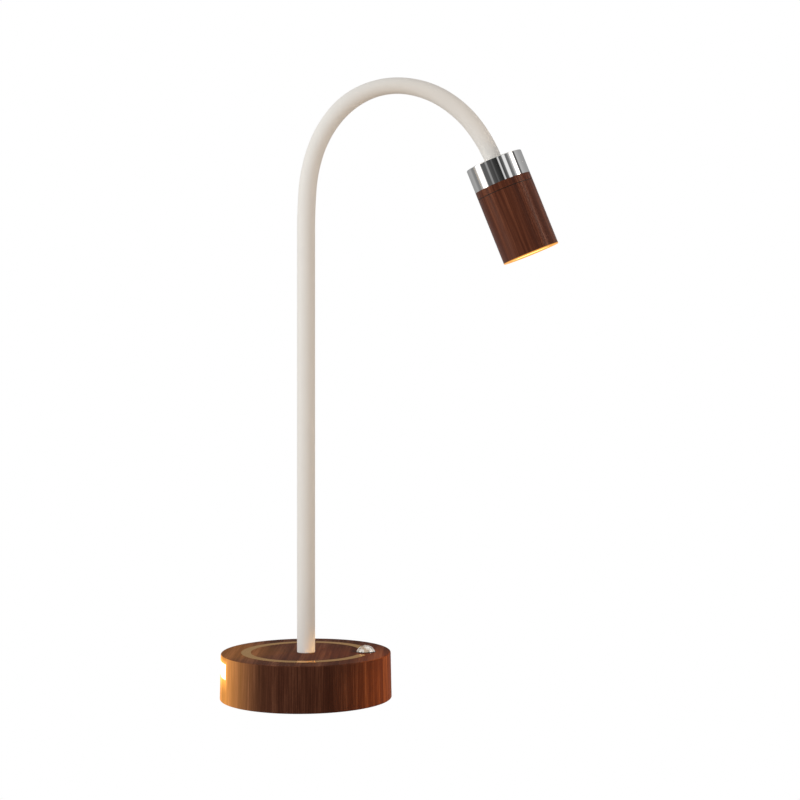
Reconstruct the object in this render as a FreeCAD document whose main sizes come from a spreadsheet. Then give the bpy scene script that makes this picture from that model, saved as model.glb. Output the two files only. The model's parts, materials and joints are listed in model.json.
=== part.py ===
# LED desk lamp: a wooden drum base, an upright tube that ends in a flexible arch, and a spot head.
# Millimetres. +Z is up, +X points from the pole towards the head, and the origin is the middle of the
# underside of the base, on the pole's axis.

import FreeCAD, Part
import math
import os
import Sketcher
from FreeCAD import Placement, Rotation, Vector

doc = FreeCAD.newDocument("desk_lamp")
sheet = doc.addObject("Spreadsheet::Sheet", "Sizes")


# Sizes that know both their number and the formula that the sheet works them out from.
class Size:
    def __init__(self, formula, number):
        self.formula = formula
        self.number = number

    def __float__(self):
        return self.number

    def __add__(self, other):
        return Size(f"({self.formula} + {sized(other).formula})", self.number + float(other))

    def __radd__(self, other):
        return sized(other) + self

    def __sub__(self, other):
        return Size(f"({self.formula} - {sized(other).formula})", self.number - float(other))

    def __rsub__(self, other):
        return sized(other) - self

    def __mul__(self, other):
        return Size(f"({self.formula} * {sized(other).formula})", self.number * float(other))

    def __rmul__(self, other):
        return sized(other) * self

    def __truediv__(self, other):
        return Size(f"({self.formula} / {sized(other).formula})", self.number / float(other))

    def __neg__(self):
        return Size(f"(0 - {self.formula})", -self.number)


def sized(item):
    return item if isinstance(item, Size) else Size(f"({item})", float(item))


def along_x(angle):
    angle = sized(angle)
    return Size(f"cos({angle.formula})", math.cos(math.radians(angle.number)))


def along_y(angle):
    angle = sized(angle)
    return Size(f"sin({angle.formula})", math.sin(math.radians(angle.number)))


# Driving dimensions: gaps between pieces
close_gap = 0.05  # running fits and glued seats, per side
seat_gap = 0.1  # loose seats inside the base and the head, per side
clear_gap = 0.3  # between pieces that move past each other

# Driving dimensions: the wooden drum and what closes it
base_radius = 60.0  # drum, at its top edge
base_flare = 0.7  # how much wider the drum is at its foot
base_height = 33.0  # table to the top of the wood
foot_gap = 0.8  # shadow line under the drum
top_round = 1.0  # rounded top edge
foot_round = 0.5  # rounded lower edge
wall_thickness = 8.5  # wood round the hollow
top_thickness = 7.0  # wood above the hollow
pad_thickness = 1.2  # soft pad under the lamp
plate_thickness = 1.6  # steel plate that closes the drum
plate_rim = 0.2  # steel outside the heads of the plate's screws
plate_screw_radius = 1.2  # shank of the plate's screws
plate_screw_bite = 8.0  # plate's screws in the wood
plate_screw_wall = 0.6  # wood between those screws and the hollow
plate_screw_land = 0.3  # steel under the heads of the plate's screws
plate_screw_count = 4
plate_screw_angle = 45
ballast_inset = 1.5  # ballast ring inside the hollow
ballast_hole = 15.0  # opening of the ballast round the pole's nut
ballast_thickness = 3.0  # ballast ring

# Driving dimensions: brass arc on the top
inlay_inner = 38.9  # inner edge of the brass arc
inlay_outer = 45.8  # outer edge of the brass arc
inlay_depth = 1.2  # depth of its groove
inlay_proud = 0.1  # how far the brass stands above the wood
inlay_opening = 42.0  # angle left open at the dome

# Driving dimensions: lit window in the rear wall
window_level = 17.5  # lower edge of the window
window_height = 11.1  # window
window_angle = 54.8  # angle that the window takes of the drum
window_end_gap = 0.15  # angle between the diffuser and each end of the window
strip_end_gap = 1.5  # angle between the diodes' board and each end of the window
window_recess = 0.3  # diffuser behind the wood's surface
diffuser_thickness = 2.6  # opal diffuser
light_box_depth = 5.6  # from the diffuser to the box's back
light_box_wall = 0.9  # walls of the box
strip_thickness = 0.8  # board behind the window
diode_count = 7
diode_pitch = 6.8  # angle from one diode to the next
diode_width = 2.8  # diode
diode_thickness = 1.2  # diode

# Driving dimensions: crystal dome and its switch
dome_radius = 6.7  # dome, at the wood's surface
dome_height = 4.6  # dome above the wood
press_travel = 1.2  # how far the dome goes down
dome_flange_reach = 1.2  # how far the dome's flange stands out
dome_flange_thickness = 1.5  # flange that keeps the dome in
dome_skirt = 3.5  # from the wood's surface down to the flange's seat
plunger_radius = 2.4  # plunger under the dome
plunger_head_reach = 1.2  # how far the plunger's head stands out
plunger_head_thickness = 1.0  # head of the plunger
cup_radius = 7.6  # spring cup under the top
cup_wall = 1.4  # spring cup
cup_depth = 8.8  # spring cup
cup_floor = 1.0  # floor of the spring cup
lug_length = 31.0  # plate across the spring cup
lug_width = 10.0  # plate across the spring cup
lug_thickness = 1.4  # plate across the spring cup
lug_screw_spread = 12.0  # from the cup's middle to each screw
lug_offset = 2.0  # plate and its screws, from the cup's middle towards the pole
spring_wire = 0.5  # button spring
spring_radius = 4.4  # button spring, to the middle of its wire
spring_turns = 5

# Driving dimensions: boards in the base
spacer_height = 2.8  # boards above the ballast
spacer_radius = 2.4  # spacers under the boards
board_thickness = 1.6  # boards
board_length = 32.0  # control board, across the lamp
board_width = 28.0  # control board, outwards from the pole
board_inset = 3.0  # screws from the board's edges
board_from_pole = 19.0  # control board's inner edge
switch_size = 6.0  # push switch
switch_body_height = 3.0  # push switch
switch_stem_radius = 1.7  # push switch
switch_stem_height = 1.2  # push switch
driver_size = 5.0  # driver on the control board
driver_height = 1.0  # driver on the control board
coil_size = 7.0  # coil on the control board
coil_height = 3.6  # coil on the control board
winding_radius = 2.6  # winding that shows in the coil's top
winding_height = 0.6  # winding above the coil's case
capacitor_radius = 1.9  # capacitors on the control board
capacitor_height = 4.6  # capacitors on the control board
cell_plug_length = 6.0  # plug of the cell's lead
cell_plug_width = 4.5  # plug of the cell's lead
cell_plug_height = 4.2  # plug of the cell's lead
charge_board_width = 16.0  # charge board
charge_board_length = 19.0  # charge board
socket_width = 8.94  # charge socket
socket_height = 3.26  # charge socket
socket_length = 7.35  # charge socket
socket_wall = 0.35  # charge socket
socket_back_wall = 1.2  # closed end of the charge socket
socket_overhang = 1.0  # charge socket past its board's edge
tongue_width = 6.6  # tongue in the charge socket
tongue_thickness = 0.7  # tongue in the charge socket
tongue_recess = 2.0  # tongue's end inside the socket's mouth
port_width = 11.6  # opening for the charge plug
port_height = 5.4  # opening for the charge plug
port_skin = 3.9  # wood left in front of the socket
pocket_gap = 1.0  # room round the charge board in its pocket
lead_radius = 0.8  # leads inside the base

# Driving dimensions: rechargeable cell
cell_radius = 9.2  # cell
cell_length = 65.0  # cell
cell_from_pole = 24.0  # cell's axis behind the pole
nub_radius = 3.0  # contact at the cell's end
nub_height = 1.2  # contact at the cell's end
cell_overhang = 4.5  # cell past each end of its cradle
cradle_floor = 0.8  # cradle under the cell
cradle_height = 7.0  # cradle
cradle_wall = 1.4  # cradle

# Driving dimensions: pole and the bush that it turns in
pole_radius = 5.0  # steel tube
pole_wall = 1.0  # steel tube
pole_foot = 5.9  # lower end of the steel tube
bush_radius = 8.0  # barrel of the bush
bush_flange_radius = 15.0  # flange of the bush
bush_flange_thickness = 3.0  # flange of the bush
bush_foot = 12.0  # lower end of the bush
bush_cover = 2.0  # wood above the bush
bush_screw_circle = 11.8  # circle of the bush's screws and stop pin
bush_screw_count = 3
bush_screw_angle = 60
washer_thickness = 0.3  # nylon washer that the arm turns on
collar_height = 1.25  # collar on the pole
stop_thickness = 1.3  # washer with the stop tab
stop_reach = 13.0  # tip of the stop tab
stop_radius = 8.0  # washer with the stop tab
stop_width = 4.0  # stop tab
stop_pin_radius = 1.2  # pin that stops the arm
stop_pin_tail = 1.0  # pin below the stop tab
spring_washer_thickness = 0.8  # spring washer
nut_height = 3.4  # lock nut
nut_corner = 8.1  # lock nut, to its corners

# Driving dimensions: flexible neck. Each link is an arc, and the arch is their chain.
neck_start = 332.2  # height where the tube starts to bend
link_length = 28.5  # link, along the arch
turn_first = 4.3  # angle that the first link turns the arch by
turn_second = 14.8  # angle of the second link
turn_third = 20.2  # angle of the third link
turn_fourth = 27.9  # angle of the fourth link
turn_fifth = 29.2  # angle of the fifth link
turn_sixth = 25.1  # angle of the sixth link
turn_seventh = 20.9  # angle of the seventh link
turn_last = 15.7  # angle of the neck's end piece
link_radius = 4.6  # links, outside
ball_radius = 3.5  # ball at the end of a link
stem_radius = 2.0  # stem that carries the ball
stem_start = 3.6  # from a link's shoulder to the middle of its ball
lip_reach = 0.8  # how far a socket grips past the ball's middle
wire_bore = 1.3  # passage through the links
flare_radius = 2.4  # widened mouth of the passage in a ball
root_plug_length = 12.0  # neck root inside the pole
root_collar = 5.0  # neck root between the pole and its stem
sleeve_radius = 6.4  # white sleeve, outside
sleeve_wall = 1.3  # white sleeve
sleeve_foot_round = 0.9  # rounded foot of the sleeve
foot_hole_gap = 0.35  # dark ring between sleeve and wood
cable_radius = 0.9  # lamp cable
cable_tail = 1.5  # lamp cable below the pole

# Driving dimensions: spot head, measured from the cap's outer face towards the mouth
head_radius = 20.7  # head
cap_length = 17.1  # chrome cap
cap_plate = 2.0  # end of the chrome cap
cap_wall = 1.6  # side of the chrome cap
cap_round = 0.5  # outer edge of the chrome cap
collar_length = 5.0  # wood collar
seam_width = 0.5  # dark seam
seam_depth = 0.5  # dark seam
shade_length = 48.9  # wood shade
shade_round = 0.4  # edges of the wood shade
core_radius = 17.5  # aluminium core under the wood
core_length = 50.0  # end of the core
core_deck = 4.0  # end of the core under the cap
core_bore = 14.5  # core above the heat sink
sink_radius = 15.6  # heat sink
sink_level = 31.0  # heat sink's seat in the core
sink_thickness = 3.0  # heat sink's plate
fin_height = 11.0  # fins of the heat sink
fin_thickness = 1.2  # fins of the heat sink
fin_pitch = 3.6  # fins of the heat sink
fin_pairs = 3
thread_radius = 4.4  # threaded end of the neck
thread_length = 12.5  # threaded end of the neck
shoulder_radius = 4.9  # shoulder that the cap is clamped against
shoulder_thickness = 1.2  # shoulder that the cap is clamped against
head_washer_radius = 8.5  # washer in the head
head_washer_thickness = 1.0  # washer in the head
head_nut_height = 4.0  # nut in the head
head_nut_corner = 7.5  # nut in the head, to its corners
chip_board_radius = 14.0  # board of the head's light
chip_board_thickness = 1.6  # board of the head's light
chip_radius = 6.0  # light-emitting chip
chip_thickness = 1.2  # light-emitting chip
reflector_wall = 0.8  # reflector
lens_thickness = 2.0  # lens
lens_ring_length = 2.5  # ring that keeps the lens in
lens_ring_wall = 2.2  # ring that keeps the lens in
liner_wall = 0.6  # liner of the mouth
liner_recess = 0.7  # liner's end inside the mouth

# Driving dimensions: small fasteners
small_screw_radius = 1.2  # shank of the small screws
small_head_radius = 2.2  # head of the small screws
small_head_height = 1.6  # head of the small screws
ceiling_screw_bite = 4.5  # small screws in the wood of the top
board_screw_bite = 2.0  # small screws in the ballast
socket_key_radius = 0.9  # hexagon in the screws' heads
socket_key_depth = 0.9  # hexagon in the screws' heads
pilot_spare = 0.5  # pilot holes past the screws' tips

# The sheet holds every driving dimension, and from here on each name stands for its cell
row = 0
for name, number in list(globals().items()):
    if isinstance(number, float):
        row += 1
        sheet.set(f"A{row}", name)
        sheet.set(f"B{row}", str(number))
        sheet.setAlias(f"B{row}", name)
        globals()[name] = Size(f"Sizes.{name}", number)

# How far a cut reaches past the face that it opens, and how far joined shapes reach into each other
past = 1.0
overlap = 0.5

# Levels and places that follow from them
link_turns = [
    turn_first,
    turn_second,
    turn_third,
    turn_fourth,
    turn_fifth,
    turn_sixth,
    turn_seventh,
    turn_last,
]
cavity_radius = base_radius - wall_thickness
plate_sink = plate_thickness - plate_screw_land
plate_head_radius = plate_screw_radius + plate_sink
plate_screw_circle = cavity_radius + plate_screw_wall + plate_screw_radius
plate_radius = plate_screw_circle + plate_head_radius + plate_rim
ballast_radius = cavity_radius - ballast_inset
plate_top = pad_thickness + plate_thickness
ballast_top = plate_top + ballast_thickness
ceiling = base_height - top_thickness
bush_top = base_height - bush_cover
board_level = ballast_top + spacer_height
board_top = board_level + board_thickness
switch_top = board_top + switch_body_height + switch_stem_height
inlay_middle = (inlay_inner + inlay_outer) / 2
inlay_end_radius = (inlay_outer - inlay_inner) / 2
foot_hole_radius = sleeve_radius + foot_hole_gap
window_top = window_level + window_height
window_middle = (window_level + window_top) / 2
wall_slope = base_flare / (base_height - foot_gap)
diffuser_outer = base_radius + wall_slope * (base_height - window_middle) - window_recess
diffuser_inner = diffuser_outer - diffuser_thickness
light_box_inner = diffuser_inner - close_gap - light_box_depth
strip_inner = light_box_inner + light_box_wall + close_gap
strip_outer = strip_inner + strip_thickness
dome_flange_radius = dome_radius + dome_flange_reach
dome_seat = base_height - dome_skirt
dome_flange_top = dome_seat - clear_gap
dome_flange_bottom = dome_flange_top - dome_flange_thickness
plunger_foot = switch_top + press_travel + seat_gap
cup_bottom = ceiling - cup_depth
cell_level = ballast_top + cradle_floor + cell_radius
port_level = board_top + socket_height / 2
port_pocket_end = base_radius - port_skin
socket_front = port_pocket_end - seat_gap
collar_foot = bush_top + washer_thickness + close_gap
sleeve_foot = collar_foot + collar_height + close_gap
stop_top = bush_foot - seat_gap
stop_bottom = stop_top - stop_thickness
spring_washer_bottom = stop_bottom - spring_washer_thickness
nut_bottom = spring_washer_bottom - nut_height
seam_start = cap_length + collar_length
shade_start = seam_start + seam_width
mouth = shade_start + shade_length
wood_inner = core_radius + seat_gap
deck_bottom = cap_plate + core_deck
washer_bottom = deck_bottom + head_washer_thickness
sink_bottom = sink_level + sink_thickness
chip_board_bottom = sink_bottom + chip_board_thickness
chip_bottom = chip_board_bottom + chip_thickness
reflector_flange = core_length + reflector_wall
lens_bottom = reflector_flange + lens_thickness
ring_bottom = lens_bottom + lens_ring_length
liner_end = mouth - liner_recess

finished = []


def keep(item, label):
    item.Label = label
    finished.append(item)
    return item


# Sketches and features of a body
def bind(feature, setting, size):
    feature.setExpression(setting, sized(size).formula)


def origin_part(body, role):
    return next(item for item in body.Origin.OriginFeatures if item.Role == role)


def pin_down(sketch, kind, line, size):
    name = f"{kind}_{line}"
    if sized(size).number == 0:
        axis = -2 if kind == "DistanceX" else -1
        sketch.addConstraint(Sketcher.Constraint("PointOnObject", line, 1, axis))
        return
    place = sketch.addConstraint(Sketcher.Constraint(kind, -1, 1, line, 1, float(size)))
    sketch.renameConstraint(place, name)
    bind(sketch, f"Constraints.{name}", size)


def outline_sketch(body, outline, facing=0):
    """A closed outline of straight lines. A corner is its distance from the axis and its height."""
    sketch = body.newObject("Sketcher::SketchObject", body.Name + "_outline")
    sketch.AttachmentSupport = [(origin_part(body, "XZ_Plane"), "")]
    sketch.MapMode = "FlatFace"
    sketch.AttachmentOffset = Placement(Vector(), Rotation(Vector(0, 1, 0), facing))
    corners = [Vector(float(across), float(up), 0) for across, up in outline]
    count = len(corners)
    for line in range(count):
        sketch.addGeometry(Part.LineSegment(corners[line], corners[(line + 1) % count]))
    for line in range(count):
        sketch.addConstraint(Sketcher.Constraint("Coincident", line, 2, (line + 1) % count, 1))
    for line, (across, up) in enumerate(outline):
        pin_down(sketch, "DistanceX", line, across)
        pin_down(sketch, "DistanceY", line, up)
    return sketch


def spun(body, kind, outline, angle=None, facing=0):
    """A revolution or groove about the body's own Z axis: all round, or an angle centred on +X or -X."""
    sketch = outline_sketch(body, outline, facing)
    feature = body.newObject(kind, body.Name + "_spun")
    feature.Profile = sketch
    feature.ReferenceAxis = (sketch, ["V_Axis"])
    if angle is None:
        feature.Angle = 360
    else:
        feature.Midplane = True
        bind(feature, "Angle", angle)
    return feature


def turned(label, outline, angle=None, place=Placement()):
    body = doc.addObject("PartDesign::Body", label)
    spun(body, "PartDesign::Revolution", outline, angle)
    body.Placement = place
    doc.recompute()
    return keep(body, label)


def groove(body, outline, angle=None, facing=0):
    feature = spun(body, "PartDesign::Groove", outline, angle, facing)
    doc.recompute()
    return feature


def primitive(body, kind, corner, settings):
    """A box, cylinder, cone or prism feature, with its own base point at corner."""
    feature = body.newObject(kind, body.Name + "_" + kind.split("::")[1].lower())
    feature.AttachmentSupport = [(origin_part(body, "XY_Plane"), "")]
    feature.MapMode = "FlatFace"
    for axis, size in zip("xyz", corner):
        bind(feature, f"AttachmentOffset.Base.{axis}", size)
    for setting, size in settings.items():
        bind(feature, setting, size)
    doc.recompute()
    return feature


def drill(body, corner, radius, depth):
    return primitive(body, "PartDesign::SubtractiveCylinder", corner, {"Radius": radius, "Height": depth})


def stud(body, corner, radius, height):
    return primitive(body, "PartDesign::AdditiveCylinder", corner, {"Radius": radius, "Height": height})


def cut_box(body, corner, length, width, height):
    settings = {"Length": length, "Width": width, "Height": height}
    return primitive(body, "PartDesign::SubtractiveBox", corner, settings)


def add_box(body, corner, length, width, height):
    settings = {"Length": length, "Width": width, "Height": height}
    return primitive(body, "PartDesign::AdditiveBox", corner, settings)


def round_the_axis(body, features, count):
    pattern = body.newObject("PartDesign::PolarPattern", body.Name + "_ring")
    pattern.Originals = features
    pattern.Axis = (origin_part(body, "Z_Axis"), [""])
    pattern.Angle = 360
    pattern.Occurrences = count
    body.Tip = pattern
    doc.recompute()
    return pattern


def circle_edges(body, radius, height):
    """The names of the body's circular edges of that radius about its Z axis, at that height."""
    names = []
    for number, edge in enumerate(body.Tip.Shape.Edges, 1):
        if not isinstance(edge.Curve, Part.Circle):
            continue
        middle = edge.Curve.Center
        fits = abs(edge.Curve.Radius - float(radius)) < 1e-4 and abs(middle.z - float(height)) < 1e-4
        if fits and math.hypot(middle.x, middle.y) < 1e-4:
            names.append(f"Edge{number}")
    return names


def rounded(body, radius, *circles):
    edges = [name for circle in circles for name in circle_edges(body, *circle)]
    before = body.Tip
    feature = body.newObject("PartDesign::Fillet", body.Name + "_rounded")
    feature.Base = (before, edges)
    bind(feature, "Radius", radius)
    doc.recompute()
    return feature


def ring_outline(inner, outer, low, high):
    return [(inner, low), (outer, low), (outer, high), (inner, high)]


# Pieces that are set out with Part's own functions
def shaped(label, shape):
    item = doc.addObject("Part::Feature", label)
    item.Shape = shape
    return keep(item, label)


def rod(radius, low, high, x=0, y=0):
    return Part.makeCylinder(float(radius), float(high) - float(low), Vector(float(x), float(y), float(low)))


def block(middle_x, middle_y, low, length, width, height):
    corner = Vector(float(middle_x) - float(length) / 2, float(middle_y) - float(width) / 2, float(low))
    return Part.makeBox(float(length), float(width), float(height), corner)


def hexagon(corner_radius, low, high):
    corners = [Vector(float(corner_radius), 0, float(low))]
    turn = Rotation(Vector(0, 0, 1), 60)
    for _ in range(6):
        corners.append(turn.multVec(corners[-1]))
    face = Part.Face(Part.makePolygon(corners[:6] + corners[:1]))
    return face.extrude(Vector(0, 0, float(high) - float(low)))


def small_screw(bite, through):
    """Pan head below z = 0 and shank above it, through one piece and into the next."""
    head = rod(small_head_radius, -small_head_height, 0)
    shank = rod(small_screw_radius, 0, through + bite)
    key = hexagon(socket_key_radius, -small_head_height, socket_key_depth - small_head_height)
    return head.fuse(shank).cut(key)


def copies(shape, places):
    return Part.makeCompound([shape.transformed(place.toMatrix(), copy=True) for place in places])


def moved(x, y, z, flipped=False):
    turn = Rotation(Vector(1, 0, 0), 180) if flipped else Rotation()
    return Placement(Vector(float(x), float(y), float(z)), turn)


def on_circle(radius, angle, z):
    angle = math.radians(angle)
    return moved(float(radius) * math.cos(angle), float(radius) * math.sin(angle), z)


# Base housing: a drum turned from walnut, hollow from below, with a stepped hole for the pole
housing = turned(
    "base_housing",
    [
        (foot_hole_radius, base_height),
        (base_radius, base_height),
        (base_radius + base_flare, foot_gap),
        (plate_radius + clear_gap, foot_gap),
        (plate_radius + clear_gap, plate_top),
        (cavity_radius, plate_top),
        (cavity_radius, ceiling),
        (bush_radius + close_gap, ceiling),
        (bush_radius + close_gap, bush_top),
        (foot_hole_radius, bush_top),
    ],
)
rounded(housing, top_round, (base_radius, base_height))
rounded(housing, foot_round, (base_radius + base_flare, foot_gap))

# The groove for the brass arc has round ends
groove_floor = base_height - inlay_depth
groove(
    housing,
    ring_outline(inlay_inner, inlay_outer, groove_floor, base_height + past),
    360 - inlay_opening,
    facing=180,
)
for side in (1, -1):
    end_x = inlay_middle * along_x(inlay_opening / 2)
    end_y = inlay_middle * along_y(inlay_opening / 2) * side
    drill(housing, (end_x, end_y, groove_floor), inlay_end_radius, inlay_depth + past)

# The window is cut through the rear wall
groove(
    housing,
    ring_outline(cavity_radius - past, base_radius + base_flare + past, window_level, window_top),
    window_angle,
    facing=180,
)

# The dome sits in a stepped hole, and its flange is kept in from below
below_ceiling = ceiling - past
drill(housing, (inlay_middle, 0, below_ceiling), dome_radius + clear_gap, top_thickness + past * 2)
flange_seat_depth = dome_seat - below_ceiling
drill(housing, (inlay_middle, 0, below_ceiling), dome_flange_radius + clear_gap, flange_seat_depth)

# A pocket inside and a round-ended opening outside let the charge plug reach its socket
pocket_half = charge_board_width / 2 + pocket_gap
pocket_floor = board_level - pocket_gap
pocket_start = cavity_radius / 2
cut_box(
    housing,
    (-pocket_half, pocket_start, pocket_floor),
    pocket_half * 2,
    port_pocket_end - pocket_start,
    port_level + port_height / 2 - pocket_floor,
)
port_half = (port_width - port_height) / 2
port_start = port_pocket_end - past
port_reach = port_skin + base_flare + past * 2
cut_box(
    housing,
    (-port_half, port_start, port_level - port_height / 2),
    port_half * 2,
    port_reach,
    port_height,
)
for side in (1, -1):
    end = drill(housing, (port_half * side, port_start, port_level), port_height / 2, port_reach)
    end.AttachmentOffset = Placement(end.AttachmentOffset.Base, Rotation(Vector(1, 0, 0), -90))
    doc.recompute()

# Pilot holes for the screws of the plate, the bush and the spring cup
plate_pilot = drill(
    housing,
    (
        plate_screw_circle * along_x(plate_screw_angle),
        plate_screw_circle * along_y(plate_screw_angle),
        plate_top - past,
    ),
    plate_screw_radius + close_gap / 2,
    plate_screw_bite + pilot_spare + past,
)
round_the_axis(housing, [plate_pilot], plate_screw_count)
bush_pilot = drill(
    housing,
    (
        bush_screw_circle * along_x(bush_screw_angle),
        bush_screw_circle * along_y(bush_screw_angle),
        below_ceiling,
    ),
    small_screw_radius + close_gap / 2,
    ceiling_screw_bite + pilot_spare + past,
)
round_the_axis(housing, [bush_pilot], bush_screw_count)
for side in (1, -1):
    drill(
        housing,
        (inlay_middle - lug_offset, lug_screw_spread * side, below_ceiling),
        small_screw_radius + close_gap / 2,
        ceiling_screw_bite + pilot_spare + past,
    )

# Brass arc: a flat ring, open at the dome, with round ends
rear_facing = Placement(Vector(), Rotation(Vector(0, 0, 1), 180))
brass = turned(
    "brass_inlay",
    ring_outline(
        inlay_inner + close_gap,
        inlay_outer - close_gap,
        groove_floor + close_gap,
        base_height + inlay_proud,
    ),
    360 - inlay_opening,
    place=rear_facing,
)
for side in (1, -1):
    stud(
        brass,
        (
            -inlay_middle * along_x(inlay_opening / 2),
            inlay_middle * along_y(inlay_opening / 2) * side,
            groove_floor + close_gap,
        ),
        inlay_end_radius - close_gap,
        inlay_depth - close_gap + inlay_proud,
    )

# Lit window: diffuser in front, white box behind it, and a curved strip of diodes in the box
turned(
    "window_diffuser",
    ring_outline(
        diffuser_inner, diffuser_outer, window_level + seat_gap, window_top - seat_gap
    ),
    window_angle - window_end_gap * 2,
    place=rear_facing,
)
box_low = window_level + seat_gap
box_high = window_top - seat_gap
turned(
    "light_box",
    [
        (light_box_inner, box_low),
        (diffuser_inner - close_gap, box_low),
        (diffuser_inner - close_gap, box_low + light_box_wall),
        (light_box_inner + light_box_wall, box_low + light_box_wall),
        (light_box_inner + light_box_wall, box_high - light_box_wall),
        (diffuser_inner - close_gap, box_high - light_box_wall),
        (diffuser_inner - close_gap, box_high),
        (light_box_inner, box_high),
    ],
    window_angle - window_end_gap * 2,
    place=rear_facing,
)
turned(
    "window_strip",
    ring_outline(
        strip_inner,
        strip_outer,
        box_low + light_box_wall + seat_gap,
        box_high - light_box_wall - seat_gap,
    ),
    window_angle - strip_end_gap * 2,
    place=rear_facing,
)
diode = block(
    -float(strip_outer + close_gap + diode_thickness / 2),
    0,
    window_middle - diode_width / 2,
    diode_thickness,
    diode_width,
    diode_width,
)
diode_turns = [
    float(diode_pitch) * (number - (diode_count - 1) / 2) for number in range(diode_count)
]
shaped(
    "window_diodes",
    copies(diode, [Placement(Vector(), Rotation(Vector(0, 0, 1), turn)) for turn in diode_turns]),
)

# Underside: pad, steel plate with countersunk screws, and a ballast ring
turned("base_pad", [(0, 0), (plate_radius, 0), (plate_radius, pad_thickness), (0, pad_thickness)])
plate = turned(
    "bottom_plate",
    [(0, pad_thickness), (plate_radius, pad_thickness), (plate_radius, plate_top), (0, plate_top)],
)
screw_x = plate_screw_circle * along_x(plate_screw_angle)
screw_y = plate_screw_circle * along_y(plate_screw_angle)
plate_hole = drill(
    plate,
    (screw_x, screw_y, pad_thickness - past),
    plate_screw_radius + close_gap,
    plate_thickness + past * 2,
)
countersink = primitive(
    plate,
    "PartDesign::SubtractiveCone",
    (screw_x, screw_y, pad_thickness),
    {
        "Radius1": plate_head_radius + close_gap,
        "Radius2": plate_screw_radius + close_gap,
        "Height": plate_sink,
    },
)
round_the_axis(plate, [plate_hole, countersink], plate_screw_count)

sunk_head = Part.makeCone(float(plate_head_radius), float(plate_screw_radius), float(plate_sink))
plate_screw = sunk_head.fuse(rod(plate_screw_radius, 0, plate_thickness + plate_screw_bite))
plate_screw = plate_screw.cut(hexagon(socket_key_radius, 0, socket_key_depth))
shaped(
    "plate_screws",
    copies(
        plate_screw,
        [
            on_circle(
                plate_screw_circle,
                plate_screw_angle + 360 / plate_screw_count * number,
                pad_thickness,
            )
            for number in range(plate_screw_count)
        ],
    ),
)

ballast = turned(
    "ballast_weight", ring_outline(ballast_hole, ballast_radius, plate_top, ballast_top)
)

# Boards: the control board lies under the dome, and the charge board under its opening
control_middle_x = board_from_pole + board_width / 2
control_screws = [
    (control_middle_x + (board_width / 2 - board_inset) * a, (board_length / 2 - board_inset) * b)
    for a in (1, -1)
    for b in (1, -1)
]
charge_board_end = socket_front - socket_overhang
charge_board_start = charge_board_end - charge_board_length
charge_screws = [
    ((charge_board_width / 2 - board_inset) * side, charge_board_start + board_inset)
    for side in (1, -1)
]
for x, y in control_screws + charge_screws:
    drill(
        ballast,
        (x, y, ballast_top - board_screw_bite - pilot_spare),
        small_screw_radius + close_gap / 2,
        board_screw_bite + pilot_spare + past,
    )


def board(label, corner, length, width, screws):
    body = doc.addObject("PartDesign::Body", label)
    add_box(body, (corner[0], corner[1], board_level), length, width, board_thickness)
    for x, y in screws:
        drill(
            body,
            (x, y, board_level - past),
            small_screw_radius + close_gap,
            board_thickness + past * 2,
        )
    return keep(body, label)


board("control_board", (board_from_pole, -board_length / 2), board_width, board_length, control_screws)
board(
    "charge_board",
    (-charge_board_width / 2, charge_board_start),
    charge_board_width,
    charge_board_length,
    charge_screws,
)
spacer = rod(spacer_radius, ballast_top, board_level).cut(
    rod(small_screw_radius + close_gap, ballast_top - past, board_level + past)
)
shaped("board_spacers", copies(spacer, [moved(x, y, 0) for x, y in control_screws + charge_screws]))
board_screw = small_screw(board_screw_bite, board_thickness + spacer_height)
shaped(
    "board_screws",
    copies(board_screw, [moved(x, y, board_top, True) for x, y in control_screws + charge_screws]),
)

switch_body = block(inlay_middle, 0, board_top, switch_size, switch_size, switch_body_height)
switch_stem = rod(
    switch_stem_radius, board_top + switch_body_height - overlap, switch_top, inlay_middle
)
shaped("push_switch", switch_body.fuse(switch_stem))

# Parts on the control board, placed from its inner edge: a driver, a coil, two capacitors, a plug
plug_x = board_from_pole + 8.5
capacitor_x = board_from_pole + 14
driver_x = board_from_pole + 5
driver_y = 8
coil_x = board_from_pole + 6
coil_y = -2
coil_top = board_top + coil_height
driver = block(driver_x, driver_y, board_top, driver_size, driver_size, driver_height)
coil = block(coil_x, coil_y, board_top, coil_size, coil_size, coil_height)
coil = coil.fuse(rod(winding_radius, coil_top - overlap, coil_top + winding_height, coil_x, coil_y))
capacitors = [
    rod(capacitor_radius, board_top, board_top + capacitor_height, capacitor_x, y) for y in (-10, -5)
]
cell_plug = block(plug_x, -12, board_top, cell_plug_length, cell_plug_width, cell_plug_height)
shaped("board_parts", Part.makeCompound([driver, coil, cell_plug] + capacitors))

# Charge socket: a flattened steel tube with a tongue, open towards the wall
def stadium(width, height, start, end):
    """A bar along Y with round ends to its section, in the middle of the charge opening."""
    half = float(width - height) / 2
    radius = float(height) / 2
    length = float(end) - float(start)
    middle = float(port_level)
    bar = block(0, (float(start) + float(end)) / 2, middle - radius, half * 2, length, radius * 2)
    for side in (1, -1):
        corner = Vector(half * side, float(start), middle)
        bar = bar.fuse(Part.makeCylinder(radius, length, corner, Vector(0, 1, 0)))
    return bar.removeSplitter()


socket_back = socket_front - socket_length
tongue = block(
    0,
    (socket_front + socket_back - tongue_recess) / 2,
    port_level - tongue_thickness / 2,
    tongue_width,
    socket_length - tongue_recess,
    tongue_thickness,
)
socket_shell = stadium(socket_width, socket_height, socket_back, socket_front).cut(
    stadium(
        socket_width - socket_wall * 2,
        socket_height - socket_wall * 2,
        socket_back + socket_back_wall,
        socket_front + past,
    )
)
shaped("charge_socket", socket_shell.fuse(tongue).removeSplitter())

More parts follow.
